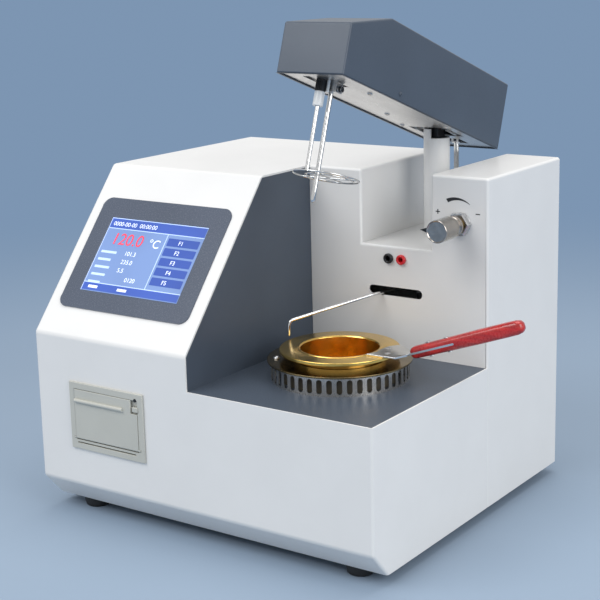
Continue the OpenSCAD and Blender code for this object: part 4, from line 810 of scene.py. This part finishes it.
pipe = bmesh.new()
hub_turn = math.atan2(FLAME_BEND[1], FLAME_BEND[0])
tube_start = 4.5
line = eased([
    (tube_start * math.cos(hub_turn), tube_start * math.sin(hub_turn), FLAME_Z), (*FLAME_BEND, FLAME_Z),
    (FLAME_REACH - 2, 0, NOZZLE_TOP), (FLAME_REACH, 0, NOZZLE_TOP - 4)], 7.0, 8)
down = [Vector((FLAME_REACH, 0, NOZZLE_TOP - 4)), Vector((FLAME_REACH, 0, NOZZLE_Z + 3))]
line = eased(line[:-1] + down, 1.6, 3)
tip = [(FLAME_REACH, 0, NOZZLE_Z + 1.2), (FLAME_REACH, 0, NOZZLE_Z)]
tube(pipe, line + tip, [1.35] * len(line) + [1.1, 0.85], 20)
bmesh.ops.remove_doubles(pipe, verts=pipe.verts, dist=0.001)
piece("flame_pipe", to_mesh(pipe, "flame_pipe", FLAME_ARM), BRIGHT, "flame_arm", ("flame_tube",))


# Camera, floor and light

def camera_like_photo():
    azimuth, elevation, roll = (math.radians(a) for a in (35.226, 12.805, -1.400))
    level = math.cos(elevation)
    back = Vector((math.sin(azimuth) * level, -math.cos(azimuth) * level, math.sin(elevation)))
    right = Vector((math.cos(azimuth), math.sin(azimuth), 0))
    up = back.cross(right)
    level_right = right * math.cos(roll) + up * math.sin(roll)
    level_up = -right * math.sin(roll) + up * math.cos(roll)
    lens = bpy.data.cameras.new("photo_view")
    lens.sensor_width = 36.0
    lens.lens = 1449.26 / 600 * 36
    lens.shift_x = (300 - 298.97) / 600
    lens.shift_y = -(300 - 277.63) / 600
    lens.clip_start, lens.clip_end = 0.05, 60.0
    view = bpy.data.objects.new("photo_view", lens)
    bpy.context.scene.collection.objects.link(view)
    turn = Matrix((level_right, level_up, back)).transposed().to_4x4()
    view.matrix_world = Matrix.Translation(from_cabinet(865.17, -837.13, 458.37).translation) @ turn
    bpy.context.scene.camera = view


def soft_light(name, size, power, place, aim, colour=(1, 1, 1)):
    lamp = bpy.data.lights.new(name, "AREA")
    lamp.shape = "RECTANGLE"
    lamp.size, lamp.size_y = size
    lamp.energy = power
    lamp.color = colour
    held = bpy.data.objects.new(name, lamp)
    bpy.context.scene.collection.objects.link(held)
    held.location = place
    held.rotation_mode = "QUATERNION"
    held.rotation_quaternion = (Vector(aim) - Vector(place)).to_track_quat("-Z", "Y")


BACKDROP_BLUE = (0.205, 0.302, 0.445, 1)


def floor_finish():
    """Pale blue under the tester, going over into the backdrop's own blue further out."""
    skin, nodes, links, shader, where = new_finish("pale_floor")
    patches = cloud(nodes, links, where, 400.0, 3.0)
    tone = two_tone(nodes, links, patches, (0.275, 0.355, 0.455), (0.270, 0.350, 0.450))
    links.new(tone, shader.inputs["Base Color"])
    shader.inputs["Roughness"].default_value = 0.8
    distance = nodes.new("ShaderNodeVectorMath")
    distance.operation = "LENGTH"
    links.new(where, distance.inputs[0])
    reach = nodes.new("ShaderNodeMapRange")
    reach.interpolation_type = "SMOOTHSTEP"
    reach.inputs["From Min"].default_value = 0.2
    reach.inputs["From Max"].default_value = 1.5
    links.new(distance.outputs["Value"], reach.inputs["Value"])
    even = nodes.new("ShaderNodeEmission")
    even.inputs["Color"].default_value = BACKDROP_BLUE
    blend = nodes.new("ShaderNodeMixShader")
    links.new(reach.outputs["Result"], blend.inputs["Fac"])
    links.new(shader.outputs["BSDF"], blend.inputs[1])
    links.new(even.outputs["Emission"], blend.inputs[2])
    links.new(blend.outputs["Shader"], nodes["Material Output"].inputs["Surface"])
    return skin


def studio():
    bm = bmesh.new()
    bmesh.ops.create_grid(bm, x_segments=4, y_segments=4, size=9.0)
    mesh = to_mesh(bm, "floor", Matrix.Translation((0, 0, -0.0002)))
    floor = bpy.data.objects.new("floor", mesh)
    bpy.context.scene.collection.objects.link(floor)
    mesh.materials.append(floor_finish())
    world = bpy.data.worlds.new("studio")
    bpy.context.scene.world = world
    world.use_nodes = True
    nodes, links = world.node_tree.nodes, world.node_tree.links
    sky = nodes["Background"]
    sky.inputs["Color"].default_value = (0.97, 0.98, 1.0, 1)
    sky.inputs["Strength"].default_value = 0.62
    behind = nodes.new("ShaderNodeBackground")
    behind.inputs["Color"].default_value = BACKDROP_BLUE
    ray = nodes.new("ShaderNodeLightPath")
    choice = nodes.new("ShaderNodeMixShader")
    links.new(ray.outputs["Is Camera Ray"], choice.inputs["Fac"])
    links.new(sky.outputs["Background"], choice.inputs[1])
    links.new(behind.outputs["Background"], choice.inputs[2])
    links.new(choice.outputs["Shader"], nodes["World Output"].inputs["Surface"])
    soft_light("key", (1.6, 1.2), 26, (-0.7, -1.6, 1.9), (0, 0, 0.15))
    soft_light("side", (1.4, 1.4), 22, (2.0, -0.5, 1.2), (0, 0, 0.15))
    soft_light("top", (1.4, 1.4), 16, (0.1, 0.3, 2.2), (0, 0, 0.1))


camera_like_photo()
studio()
bpy.context.scene.view_settings.view_transform = "Standard"
